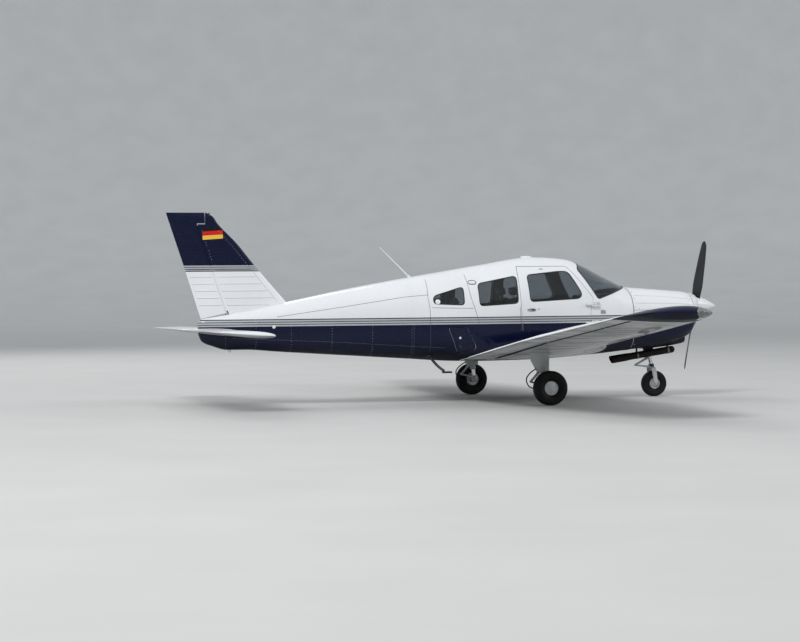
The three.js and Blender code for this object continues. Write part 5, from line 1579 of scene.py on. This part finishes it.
def make_main_legs():
    """Fairing, oleo, torque link, axle, brake caliper and hose."""
    levels = [0.76, 0.7, 0.64, 0.63, 0.622, 0.615, 0.609, 0.59, 0.57, 0.545, 0.52, 0.49, 0.46, 0.43, 0.41, 0.403]
    high, low = Vector((-0.038, LEG_Y, 0.46)), Vector((-0.012, LEG_Y, 0.222))
    way, brake = (low - high).normalized(), HALF_TREAD - 0.096
    sleeve = [(0, 0), (0.036, 0), (0.036, 0.085), (0.04, 0.088), (0.04, 0.108), (0.036, 0.111),
              (0.031, 0.114), (0, 0.114)]
    knuckle = [(0, 0), (0.03, 0), (0.035, 0.006), (0.036, 0.04), (0.034, 0.066), (0, 0.066)]
    foot = [(0, -0.026), (0.031, -0.026), (0.034, -0.022), (0.034, 0.046), (0.031, 0.052), (0, 0.052)]
    hose = [(-0.112, 0.445), (-0.16, 0.425), (-0.215, 0.385), (-0.252, 0.338), (-0.258, 0.295),
            (-0.236, 0.24), (-0.19, 0.21),
            (-0.135, 0.212), (-0.095, 0.225)]
    hose = [Vector((x, LEG_Y + 0.012 + 0.03 * k / 8, z)) for k, (x, z) in enumerate(hose)]
    left = joined([
        loft("gear_paint", [fairing_ring(z, *straight(FAIRING, z)) for z in levels]),
        turned("gear_paint", sleeve, high, way, 40),
        rod("chrome", high + way * 0.1, high.lerp(low, 0.86), 0.0255, sides=40),
        turned("gear_paint", knuckle, high.lerp(low, 0.82), way, 36),
        turned("gear_paint", foot, (0, LEG_Y, 0.21), Y, 36),
        rod("bare_steel", (0, LEG_Y, 0.21), (0, HALF_TREAD + 0.03, 0.21), 0.022),
        *torque_link([(-0.075, 0.415), (-0.197, 0.284), (-0.022, 0.238)], LEG_Y, 0.026),
        block("dark_paint", (-0.112, HALF_TREAD - 0.098, 0.185), (-0.052, HALF_TREAD - 0.068, 0.262), 0.008),
        bar("gear_paint", [(-0.09, brake, 0.222), (-0.045, brake, 0.214), (0, brake, 0.21)],
            (0.06, 0.062, 0.08), 0.008),
        pipe("seal_rubber", hose, 0.0075, 14, 6),
        *(rod("bare_steel", at - Z * 0.01, at + Z * 0.01, 0.009, sides=6) for at in (hose[0], hose[-1])),
    ])
    for side, piece in (("left", left), ("right", mirrored(left))):
        dress(f"main_leg_{side}_strut", piece, "gear_grey", f"main_leg_{side}")


def make_main_gear():
    make_main_legs()
    make_main_wheel("left", 1)
    make_main_wheel("right", -1)


def along_strut(z):
    return STEER_FOOT.lerp(STEER_HEAD, (z - STEER_FOOT.z) / (STEER_HEAD.z - STEER_FOOT.z))


def make_nose_strut():
    tube = [(0.0245, 0), (0.034, 0), (0.038, 0.004), (0.038, 0.355), (0, 0.355), (0, 0.16), (0.0245, 0.16),
            (0.0245, 0)]
    shroud = [(0.0375, 0.016), (0.056, 0.018), (0.06, 0.022), (0.066, 0.06), (0.071, 0.098), (0.07, 0.102),
              (0.0375, 0.104),
              (0.0375, 0.016)]
    foot = along_strut(0.54)
    parts = [turned("dark_paint", tube, foot, STEER_WAY, 48), turned("dark_paint", shroud, foot, STEER_WAY, 56)]
    dress("nose_strut_tube", parts, "navy_paint", "nose_strut")


def make_nose_fork():
    """Steering stem, crown, fork legs, torque link and axle."""
    x, _, z = NOSE_AXLE
    collar = [(0, 0), (0.033, 0), (0.036, 0.004), (0.036, 0.04), (0.03, 0.046), (0, 0.046)]
    eye = [(0, -0.01), (0.022, -0.01), (0.024, -0.007), (0.024, 0.007), (0.022, 0.01), (0, 0.01)]
    parts = [rod("chrome", along_strut(0.385), along_strut(0.6), 0.0238, sides=40),
             turned("dark_paint", collar, along_strut(0.378), STEER_WAY, 40)]
    for side in (-1, 1):
        path = smooth_path([(1.955, 0, 0.374), (1.962, side * 0.045, 0.376), (1.97, side * 0.078, 0.358),
                            (1.98, side * 0.085, 0.29), (1.992, side * 0.085, 0.215), (x, side * 0.085, z)])
        rings = []
        for k, (point, along) in enumerate(zip(path, ways(path))):
            across = along.cross(X).normalized()
            deep = across.cross(along) * (0.038 - 0.014 * k / (len(path) - 1))
            rings.append(ellipse(point, deep, across * 0.0095, 28, 3.2))
        parts += [loft("gear_paint", rings), turned("gear_paint", eye, (x, side * 0.086, z), Y, 32),
                  rod("bare_steel", (x, side * 0.094, z), (x, side * 0.104, z), 0.013, sides=6)]
    parts += [rod("bare_steel", NOSE_AXLE - Y * 0.098, NOSE_AXLE + Y * 0.098, 0.0138),
              *torque_link([(1.925, 0.508), (1.74, 0.41), (1.94, 0.386)], 0, 0.02)]
    dress("nose_fork_arms", parts, "gear_grey", "nose_fork", body="nose_fork")


def make_nose_wheel():
    _, width, low = NOSE_TYRE
    tyre("nose_tyre_tread", NOSE_TYRE, NOSE_AXLE, "nose_wheel", "nose_tyre")
    hub = cast_hub("gear_paint", 0.0143, low - SEAT, width * 0.3, NOSE_AXLE)
    dress("nose_wheel_alloy", hub, "wheel_alloy", "nose_hub", body="nose_wheel")


# Seats, panel, antenna and step

SEAT_Y, BENCH_Y = 0.258, 0.219
PANEL_SIDE = [(1.0, 1.0), (1.06, 1.33), (1.3, 1.35), (1.24, 1.0)]
PANEL_UP = Vector((0.06, 0, 0.33)).normalized()
PANEL_OUT = Vector((-PANEL_UP.z, 0, PANEL_UP.x))
STEP_ARM = [(-1.18, -0.33, 0.605), (-1.11, -0.47, 0.48), (-1.04, -0.55, 0.405)]


def cube_grid(steps):
    """Points and squares of a cube's surface from -1 to 1."""
    places = np.linspace(-1, 1, steps + 1)
    points, faces = [], []
    for axis, end in ((axis, end) for axis in range(3) for end in (-1, 1)):
        first = len(points)
        for u, v in ((u, v) for u in places for v in places):
            point = [u, v]
            point.insert(axis, end)
            points.append(point)
        for row in range(first, first + steps * (steps + 1), steps + 1):
            faces += [(row + j, row + j + 1, row + steps + j + 2, row + steps + j + 1) for j in range(steps)]
    return np.array(points, float), faces


def on_cushion(cube, centre, half, up, power=5.5, channels=(), taper=0.0):
    """Points of a crowned cushion, with channels sewn into its face."""
    x, y, z = (cube / (np.abs(cube) ** power).sum(1, keepdims=True) ** (1 / power)).T
    for place in channels:
        z = z - 0.22 * np.clip(z, 0, 1) * np.exp(-(((y - place) / 0.05) ** 2))
    z = z * (1 + 0.16 * (1 - x * x) * (1 - y * y))
    local = np.stack([x * (1 - 0.05 * (1 - y * y)), y * (1 - 0.05 * (1 - x * x)) * (1 - taper * (x + 1) / 2),
                      z], 1)
    up = Vector(up).normalized()
    return np.asarray(centre) + (local * half) @ np.array([up, Y, up.cross(Y)])


def cushion(centre, half, up, **form):
    """A padded form with piping round its face."""
    cube, faces = cube_grid(26)
    edge = []
    for x, y in ((1, 0), (0, 1), (-1, 0), (0, -1)):
        edge += [(x - y * t, y + x * t, 0.8) for t in np.linspace(-1, 1, 15)[:-1]]
    return [new_piece("seat_leather", on_cushion(cube, centre, half, up, **form), faces),
            ringed("seat_leather", on_cushion(np.array(edge), centre, half, up, **form), 0.009)]


def make_front_seat(side, sign):
    """Cushion, back and head rest on a low frame."""
    y, back, sewn = sign * SEAT_Y, (-0.25, 0, 0.968), (-0.42, 0, 0.42)
    pads = [*cushion((0.39, y, 0.845), (0.243, 0.208, 0.05), -X, channels=sewn),
            *cushion((0.062, y, 1.095), (0.225, 0.205, 0.05), back, channels=sewn, taper=0.14),
            *cushion((-0.012, y, 1.388), (0.052, 0.118, 0.038), back, power=4.0)]
    pads = dress(f"seat_front_{side}_cushions", pads, "seat_leather", f"seat_front_{side}")
    parts = [block("carpet", (0.15, y - 0.165, 0.6), (0.585, y + 0.165, 0.792), 0.025)]
    for dy in (-0.14, 0.14):
        near, far = y + dy * 0.45, y + dy * 1.42
        parts += [rod("bare_steel", (0.12, y + dy, 0.575), (0.62, y + dy, 0.575), 0.014),
                  rod("bare_steel", (0.012, near, 1.3), (-0.01, near, 1.37), 0.006),
                  bar("bare_steel", [(0.155, far, 0.8), (0.11, far, 0.9)], (0.05, 0.04), 0.01)]
    dress(f"seat_front_{side}_frame", parts, "bare_steel")


def make_seats():
    make_front_seat("left", 1)
    make_front_seat("right", -1)
    pads, sewn = [], (-0.4, 0, 0.4)
    for sign in (1, -1):
        pads += cushion((-0.466, sign * BENCH_Y, 0.806), (0.212, 0.214, 0.052), -X, channels=sewn)
        pads += cushion((-0.79, sign * 0.212, 1.09), (0.232, 0.208, 0.044), (-0.2, 0, 0.98), channels=sewn,
                        taper=0.05)
    pads = dress("seat_rear_cushions", pads, "seat_leather", "seat_rear")
    base = [block("carpet", (-0.74, -0.4, 0.575), (-0.29, 0.4, 0.752), 0.02),
            block("liner", (-0.868, -0.4, 0.6), (-0.845, 0.4, 1.3), 0.006)]
    dress("seat_rear_base", base, "bare_steel")


def on_panel(y, height):
    """A point of the panel's face."""
    return Vector((1.0, y, 1.0)) + PANEL_UP * height


def bezel(y, height, radius):
    ring = [(0, -0.01), (0, 0.002), (-0.002, 0.005), (-0.006, 0.005), (-0.008, 0.001), (-0.008, -0.01), (0, -0.01)]
    return turned("panel_plastic", [(radius + r, w) for r, w in ring], on_panel(y, height), PANEL_OUT, 40)


def dials(places):
    """All dial faces as one piece, with a map from -1 to 1 across each."""
    vertices, faces, uvs = [], [], []
    for y, height, radius in places:
        first = len(vertices)
        for depth in (0.0012, -0.004):
            for c, s in (turn_of(k, 32) for k in range(32)):
                vertices.append(on_panel(y, height) + (Y * -c + PANEL_UP * s) * (radius - 0.007)
                                + PANEL_OUT * depth)
                uvs.append((c, s))
        faces += [tuple(first + k for k in range(32)), tuple(first + 63 - k for k in range(32))]
        faces += [(first + k, first + 32 + k, first + 32 + (k + 1) % 32, first + (k + 1) % 32) for k in range(32)]
    piece = new_piece("dial_face", vertices, faces)
    layer = piece.data.uv_layers.new(name="dial")
    for loop in piece.data.loops:
        layer.data[loop.index].uv = uvs[loop.vertex_index]
    dress("dial_faces", piece, "panel_plastic")


def make_panel():
    """Panel with dials, radios and yokes, and the flap lever."""
    panel = prism("panel_plastic", rounded(PANEL_SIDE, 0.02), "y", -0.6, 0.6)
    cut(panel, skin("panel_plastic", BODY, FIREWALL, 0.8, WALL + 0.001, step=0.03), "INTERSECT")
    places = [(0.258 + dy, h, 0.041) for dy in (-0.092, 0, 0.092) for h in (0.155, 0.252)]
    places += [(-0.27, 0.252, 0.041), (-0.18, 0.252, 0.036)]
    places += [(y, h, 0.026) for y in (0.415, -0.36) for h in (0.27, 0.21, 0.15)]
    parts = [panel, *(bezel(*place) for place in places)]
    for rise in (0.045 * k for k in range(4)):
        low, high = on_panel(0.085, 0.115 + rise), on_panel(-0.085, 0.155 + rise)
        parts.append(block("panel_plastic", (low.x - 0.006, high.y, low.z), (high.x + 0.02, low.y, high.z)))
        for knob in (on_panel(y, 0.134 + rise) for y in (-0.066, 0.066)):
            parts.append(rod("chrome", knob, knob + PANEL_OUT * 0.022, 0.008, sides=16))
    for y, coat in ((0.04, "chrome"), (0, "panel_plastic"), (-0.04, "panel_plastic")):
        start, end = (on_panel(y, 0.05) + PANEL_OUT * reach for reach in (0, 0.07))
        parts += [rod("chrome", start, end, 0.004, sides=12),
                  rod(coat, end, end + PANEL_OUT * 0.018, 0.011, sides=20)]
    for y in (SEAT_Y, -SEAT_Y):
        horn = ((-0.12, 1.172), (-0.122, 1.125), (-0.09, 1.104), (0, 1.102), (0.09, 1.104), (0.122, 1.125),
                (0.12, 1.172))
        horn = [(0.861, y + dy, z) for dy, z in horn]
        parts += [pipe("panel_plastic", horn, (0.0105, 0.01, 0.01, 0.009, 0.01, 0.01, 0.0105), 16, 6),
                  block("panel_plastic", (0.852, y - 0.036, 1.09), (0.872, y + 0.036, 1.12), 0.006),
                  rod("chrome", (0.868, y, 1.105), (1.06, y, 1.105), 0.0115)]
    dress("instrument_panel_board", parts, "panel_plastic", "instrument_panel")
    dials(places)
    lever = [rod("chrome", (0.33, 0, 0.6), (0.6, 0, 0.76), 0.011),
             rod("panel_plastic", (0.56, 0, 0.7363), (0.66, 0, 0.7956), 0.017),
             block("panel_plastic", (0.26, -0.03, 0.575), (0.42, 0.03, 0.64), 0.012)]
    dress("flap_lever", lever, "panel_plastic")


def make_antenna():
    """Whip antenna in its sloping foot."""
    foot = [ellipse((-1.29 - 0.04 * t, 0, 1.548 + 0.042 * t), (grow * 1.5, 0, grow * 0.4), (0, grow, 0), 28)
            for t, grow in ((0, 0.02), (0.15, 0.019), (0.3, 0.015), (0.9, 0.012), (1, 0.01))]
    parts = [loft("white_paint", foot), rod("chrome", (-1.318, 0, 1.578), (-1.35, 0, 1.609), 0.0125),
             rod("white_paint", (-1.318, 0, 1.578), (-1.7, 0, 1.952), 0.0105, 0.005, 16)]
    dress("antenna_whip", parts, "white_paint", "antenna")


def make_step():
    """A bent tube with a small tread plate."""
    parts = [pipe("dark_paint", STEP_ARM, 0.0165, 20, 16),
             block("dark_paint", (-1.06, -0.585, 0.378), (-0.94, -0.515, 0.396), 0.006),
             block("grip_walk", (-1.054, -0.579, 0.395), (-0.946, -0.521, 0.3995), 0.002),
             rod("dark_paint", (-1.178, -0.336, 0.6), (-1.165, -0.366, 0.574), 0.034, 0.03)]
    dress("boarding_step_arm", parts, "gear_grey", "boarding_step")


# Seams and rivets

UPPER_SEAM = [(-3.66, 1.012), (-3.071, 1.096), (-2.296, 1.205), (-1.485, 1.327), (-1.19, 1.35)]
LONGERON = [(-3.6, 0.838), (-3.1, 0.814), (-2.389, 0.78), (-1.261, 0.703), (-1.01, 0.69)]
CABIN_SEAMS = [
    [(-1.19, 1.54), (-1.205, 1.33), (-1.185, 1.15), (-1.182, 0.64)],
    [(-0.696, 1.6), (-0.687, 1.476), (-0.662, 1.309), (-0.61, 1.141), (-0.57, 0.985)],
    [(-1.16, 1.19), (-0.64, 1.176)], [(-0.03, 1.19), (-0.022, 0.905)],
]
TAIL_FRAMES = (-1.9, -2.4, -2.9, -3.33, -3.7)
COWL_CREASES = [[(1.56, 1.318), (2.0, 1.302), (2.36, 1.262)], [(1.56, 1.222), (2.0, 1.216), (2.36, 1.196)]]
FIN_SEAM = 0.1


def along(corners, place):
    """A path; place gives a point of a surface and the way out."""
    points, outs = zip(*(place(*point) for point in stepped(corners, 0.03)))
    return list(points), outs, False


def around(rows, x):
    """A ring round the body at a station."""
    points = [Vector(p) for p in body_rings(rows, [x])[0]]
    pairs = zip(points[-1:] + points[:-1], points[1:] + points[:1])
    return points, [(after - before).cross(X).normalized() for before, after in pairs], True


def both_sides(corner_lists, rows=BODY):
    return [along(corners, lambda x, z, side=side: on_side(x, z, side, rows))
            for corners in corner_lists for side in (-1, 1)]


def trim(name, kind, coat, paths, body="airframe", **values):
    """A pattern laid along paths as one piece."""
    slot = {"seam_line": "gear_grey", "fin_paint": "white_paint"}.get(coat, coat)
    dress(name, laid(coat, kind, paths, **values), slot, body=body)


def make_seams():
    size = sizes()
    rivet = {"Pitch": size.rivet_pitch, "Radius": size.rivet_head, "Height": 0.45, "Sides": 6}
    cabin = both_sides(CABIN_SEAMS)
    trim("fuselage_seams", "strip", "seam_line", both_sides([UPPER_SEAM[1:], LONGERON]) + cabin,
         Width=size.seam_width)
    frames = [around(BODY, x) for x in (*TAIL_FRAMES, CABIN_REAR + 0.014, CABIN_REAR - 0.014)]
    trim("fuselage_rivets", "heads", "white_paint", both_sides([UPPER_SEAM, LONGERON]) + frames + cabin, **rivet)
    split = both_sides([[(COWL_REAR, SPLIT), (BOWL_REAR, SPLIT)]], COWL)
    trim("cowl_seams", "strip", "seam_line",
         [around(COWL, BOWL_REAR), around(BODY, FIREWALL + 0.0005), *split], Width=0.004)
    trim("cowl_creases", "strip", "white_paint", both_sides(COWL_CREASES, COWL), Width=0.009)
    studs = both_sides([[(1.6, SPLIT + 0.018), (2.33, SPLIT + 0.018)]], COWL) + [around(COWL, 1.552)]
    trim("cowl_studs", "heads", "bare_steel", studs, Pitch=0.125, Radius=0.0075, Height=0.35, Sides=12)
    for side, sign in (("left", 1), ("right", -1)):
        rows, seams = [], []
        for place in (on_wing(face, sign) for face in (1, -1)):
            rows += [along([(span, 0.13), (span, 0.75)], place) for span in np.arange(0.42, 4.42, 0.334)]
            rows += [along([(0.16, u), (2.112, u), (4.42, u)], place) for u in (0.13, 0.4, 0.7)]
            seams += [along(corners, place) for corners in (
                [(0.1, 0.118), (2.112, 0.118), (4.43, 0.118)], [(2.112, 0.02), (2.112, 0.775)],
                [(4.438, 0.02), (4.438, 0.99)])]
        trim(f"wing_{side}_rivets", "heads", "white_paint", rows, **(rivet | {"Pitch": 0.048, "Radius": 0.0024}))
        trim(f"wing_{side}_seams", "strip", "seam_line", seams, Width=0.0022)
    make_fin_seams(rivet)


def fin_edge(z):
    """Where the leading skin of the fin ends."""
    nose, chord, _ = fin_at(z)
    return nose - FIN_SEAM * chord


def make_fin_seams(rivet):
    """Seams, rivets and pressed beads of the fin and rudder."""
    pitch, height = sizes().bead_pitch, sizes().bead_height
    rows, seams, beads = [], [], {"fin": [], "rudder": []}
    for place in (on_fin(sign) for sign in (1, -1)):
        levels = (1.28, 1.6, 1.9, 2.16)
        seams.append(along([(fin_edge(z), z) for z in levels], place))
        rows += [along([(fin_edge(z) - 0.012, z) for z in levels], place),
                 along([(rudder_hinge(z) + 0.05, z) for z in levels], place)]
        for z in np.arange(1.25, 2.14, pitch):
            front, hinge = fin_edge(z) - 0.012, rudder_hinge(z)
            while top_at(front) > z - 0.015:
                front -= 0.02
            nose, chord, _ = fin_at(z)
            beads["fin"].append(along([(front, z), (hinge + rudder_nose(z) + RUDDER_GAP + 0.012, z)], place))
            beads["rudder"].append(along([(hinge - 0.015, z), (nose - chord + 0.035, z)], place))
    trim("fin_beads", "strip", "fin_paint", beads["fin"], Width=2 * height)
    trim("rudder_beads", "strip", "fin_paint", beads["rudder"], "rudder", Width=2 * height)
    trim("fin_seams", "strip", "seam_line", seams, Width=0.0022)
    trim("fin_rivets", "heads", "white_paint", rows, **rivet)


# Small fittings


def fuel_cap(sign):
    here, out = on_wing(1, sign)(1.56, 0.22)
    top = here + out * 0.006
    profile = [(0, -0.004), (0.052, -0.004), (0.052, 0.002), (0.046, 0.0035), (0.04, 0.0035), (0.039, 0.006),
               (0, 0.0075)]
    return [turned("white_paint", profile, here, out, 48),
            block("bare_steel", top - Vector((0.026, 0.006, 0.001)), top + Vector((0.026, 0.006, 0.004)), 0.002)]


def make_fittings():
    """Scoops, ports, vents, fuel caps, beacon, wing walk and pitot mast."""
    parts = []
    for side in (-1, 1):
        rim = [on_side(-0.625 + u, 1.5 + v, side)[0] for u, v in oval(0.05, 0.026, 28)]
        parts += [plate_on("bare_steel", 1.086, 1.115, side, oval(0.034, 0.024, power=6), 0.006),
                  plate_on("white_paint", -3.112, 0.974, side, oval(0.02, 0.02), 0.003),
                  ringed("seal_rubber", rim, 0.008),
                  plate_on("white_paint", -0.625, 1.5, side, oval(0.044, 0.021), 0.006),
                  plate_on("white_paint", -1.085, 1.262, side, oval(0.03, 0.03), 0.006), *fuel_cap(side)]
    dome = [ellipse((0.25, 0, top_at(0.25) + z), (0.075 * grow, 0, 0), (0, 0.05 * grow, 0), 36)
            for z, grow in ((-0.01, 1.0), (0.004, 0.98), (0.012, 0.86), (0.018, 0.62), (0.02, 0.3))]
    beacon = [(0, -0.012), (0.016, -0.012), (0.016, 0.004), (0.014, 0.006), (0.013, 0.016), (0.009, 0.022),
              (0, 0.024)]
    walk = []
    for span in np.linspace(0.07, 0.52, 8):
        pairs = [on_wing(1, -1)(span, u) for u in np.linspace(0.24, 0.74, 22)]
        walk.append([p + out * 0.0016 for p, out in pairs] + [p - out * 0.002 for p, out in reversed(pairs)])
    pitot = [ellipse((x, 2.95, z), (long, 0, 0), (0, 0.006, 0), 24)
             for x, z, long in ((0.18, 0.885, 0.04), (0.22, 0.8, 0.036), (0.232, 0.775, 0.032))]
    parts += [loft("white_paint", dome), turned("panel_plastic", beacon, (-3.874, 0, 2.358), Z, 32),
              loft("grip_walk", walk), loft("white_paint", pitot)]
    dress("small_fittings", parts, "white_paint")


# Stage


def make_stage():
    """A pale floor that rises at its edge, soft lights and the camera."""
    rise = [(0, 0), (60, 0), (68, 0.5), (75, 2.0), (82, 5.0), (88, 10.0), (92, 17.0), (95, 26.0), (96, 34.0)]
    floor = turned("floor", rise, (0, 0, 0), Z, 128)
    floor.name = "floor"
    floor.data.shade_smooth()
    world = bpy.data.worlds.new("studio")
    world.use_nodes = True
    sky = world.node_tree.nodes["Background"].inputs
    sky["Color"].default_value, sky["Strength"].default_value = (0.86, 0.9, 0.95, 1), 0.58
    bpy.context.scene.world = world
    bpy.context.scene.view_settings.view_transform = "Standard"
    lights = (("key", (-14, -18, 22), (0, 0, 1), 10, 5000), ("fill", (22, -8, 12), (0, 0, 1), 10, 1300),
              ("back", (-4, 20, 16), (0, 0, 1.5), 12, 1900))
    for name, place, aim, size, power in lights:
        lamp = bpy.data.lights.new(name, "AREA")
        lamp.size, lamp.energy = size, power
        light = link(lamp, name)
        light.location = place
        light.rotation_euler = (Vector(aim) - Vector(place)).to_track_quat("-Z", "Y").to_euler()
    place_camera()


def place_camera():
    """The photograph's viewpoint, ahead of the right wing tip."""
    yaw, pitch, roll = (math.radians(a) for a in (73.65, -0.809, -0.525))
    ahead = Vector((math.cos(pitch) * math.cos(yaw), math.cos(pitch) * math.sin(yaw), math.sin(pitch)))
    level = ahead.cross(Z).normalized()
    upright = level.cross(ahead)
    right = level * math.cos(roll) + upright * math.sin(roll)
    up = upright * math.cos(roll) - level * math.sin(roll)
    lens = bpy.data.cameras.new("camera")
    lens.lens, lens.sensor_width, lens.sensor_fit, lens.clip_end = 97.209, 36.0, "HORIZONTAL", 400
    camera = link(lens, "camera")
    camera.matrix_world = (Matrix.Translation((-8.3375, -26.097, 1.408))
                           @ Matrix((right, up, -ahead)).transposed().to_4x4())
    bpy.context.scene.camera = camera


# Operators and panel


class AIRCRAFT_OT_stage(bpy.types.Operator):
    """Floor, lights and camera."""

    bl_idname = "aircraft.stage"
    bl_label = "Stage"

    def execute(self, context):
        make_stage()
        return {"FINISHED"}


class AIRCRAFT_OT_shell(bpy.types.Operator):
    """Cabin walls with their openings."""

    bl_idname = "aircraft.shell"
    bl_label = "Cabin shell"

    def execute(self, context):
        make_shell()
        return {"FINISHED"}


class AIRCRAFT_OT_doors(bpy.types.Operator):
    """Cabin door and baggage door."""

    bl_idname = "aircraft.doors"
    bl_label = "Doors"

    def execute(self, context):
        make_doors()
        return {"FINISHED"}


class AIRCRAFT_OT_glazing(bpy.types.Operator):
    """Panes, seals and the windshield post."""

    bl_idname = "aircraft.glazing"
    bl_label = "Glazing"

    def execute(self, context):
        make_glazing()
        return {"FINISHED"}


class AIRCRAFT_OT_seats(bpy.types.Operator):
    """Front seats and rear bench."""

    bl_idname = "aircraft.seats"
    bl_label = "Seats"

    def execute(self, context):
        make_seats()
        return {"FINISHED"}


class AIRCRAFT_OT_panel(bpy.types.Operator):
    """Panel, dials and control yokes."""

    bl_idname = "aircraft.panel"
    bl_label = "Instrument panel"

    def execute(self, context):
        make_panel()
        return {"FINISHED"}


class AIRCRAFT_OT_cowling(bpy.types.Operator):
    """Cowls, nose bowl and firewall."""

    bl_idname = "aircraft.cowling"
    bl_label = "Cowling"

    def execute(self, context):
        make_cowling()
        return {"FINISHED"}


class AIRCRAFT_OT_engine(bpy.types.Operator):
    """Engine and exhaust."""

    bl_idname = "aircraft.engine"
    bl_label = "Engine"

    def execute(self, context):
        make_engine()
        make_exhaust()
        return {"FINISHED"}


class AIRCRAFT_OT_wings(bpy.types.Operator):
    """Wings and tips."""

    bl_idname = "aircraft.wings"
    bl_label = "Wings"

    def execute(self, context):
        make_wings()
        return {"FINISHED"}


class AIRCRAFT_OT_controls(bpy.types.Operator):
    """Flaps and ailerons."""

    bl_idname = "aircraft.controls"
    bl_label = "Flaps and ailerons"

    def execute(self, context):
        make_controls()
        return {"FINISHED"}


class AIRCRAFT_OT_tail(bpy.types.Operator):
    """Fin, rudder, stabilator and tail cone."""

    bl_idname = "aircraft.tail"
    bl_label = "Tail"

    def execute(self, context):
        make_fin()
        make_rudder()
        make_stabilator()
        make_tail_cone()
        return {"FINISHED"}


class AIRCRAFT_OT_propeller(bpy.types.Operator):
    """Blades and spinner."""

    bl_idname = "aircraft.propeller"
    bl_label = "Propeller"

    def execute(self, context):
        make_propeller()
        return {"FINISHED"}


class AIRCRAFT_OT_main_gear(bpy.types.Operator):
    """Main legs and wheels."""

    bl_idname = "aircraft.main_gear"
    bl_label = "Main gear"

    def execute(self, context):
        make_main_gear()
        return {"FINISHED"}


class AIRCRAFT_OT_nose_gear(bpy.types.Operator):
    """Nose leg, fork and wheel."""

    bl_idname = "aircraft.nose_gear"
    bl_label = "Nose gear"

    def execute(self, context):
        make_nose_strut()
        make_nose_fork()
        make_nose_wheel()
        return {"FINISHED"}


class AIRCRAFT_OT_small_parts(bpy.types.Operator):
    """Whip antenna and boarding step."""

    bl_idname = "aircraft.small_parts"
    bl_label = "Antenna and step"

    def execute(self, context):
        make_antenna()
        make_step()
        return {"FINISHED"}


class AIRCRAFT_OT_seams(bpy.types.Operator):
    """Lines between sheets and the rivets along them."""

    bl_idname = "aircraft.seams"
    bl_label = "Seams and rivets"

    def execute(self, context):
        make_seams()
        return {"FINISHED"}


class AIRCRAFT_OT_fittings(bpy.types.Operator):
    """Vents, lights, caps and other small fittings."""

    bl_idname = "aircraft.fittings"
    bl_label = "Fittings"

    def execute(self, context):
        make_fittings()
        return {"FINISHED"}


OPERATORS = [
    AIRCRAFT_OT_stage, AIRCRAFT_OT_shell, AIRCRAFT_OT_doors, AIRCRAFT_OT_glazing, AIRCRAFT_OT_seats,
    AIRCRAFT_OT_panel, AIRCRAFT_OT_cowling, AIRCRAFT_OT_engine, AIRCRAFT_OT_wings, AIRCRAFT_OT_controls,
    AIRCRAFT_OT_tail, AIRCRAFT_OT_propeller, AIRCRAFT_OT_main_gear, AIRCRAFT_OT_nose_gear,
    AIRCRAFT_OT_small_parts, AIRCRAFT_OT_seams, AIRCRAFT_OT_fittings,
]


class AIRCRAFT_PT_panel(bpy.types.Panel):
    """Lists the aircraft's operators."""

    bl_label = "Light aircraft"
    bl_idname = "AIRCRAFT_PT_panel"
    bl_space_type = "VIEW_3D"
    bl_region_type = "UI"
    bl_category = "Aircraft"

    def draw(self, context):
        for entry in OPERATORS:
            self.layout.operator(entry.bl_idname)


CLASSES = [AircraftSizes, AircraftColours, *OPERATORS, AIRCRAFT_PT_panel]


def register():
    for entry in CLASSES:
        bpy.utils.register_class(entry)
    bpy.types.Scene.aircraft_sizes = bpy.props.PointerProperty(type=AircraftSizes)
    bpy.types.Scene.aircraft_colours = bpy.props.PointerProperty(type=AircraftColours)


def unregister():
    del bpy.types.Scene.aircraft_sizes
    del bpy.types.Scene.aircraft_colours
    for entry in reversed(CLASSES):
        bpy.utils.unregister_class(entry)


def main():
    """Builds the whole aircraft."""
    register()
    for entry in OPERATORS:
        group, name = entry.bl_idname.split(".")
        getattr(getattr(bpy.ops, group), name)()


if __name__ == "__main__":
    main()
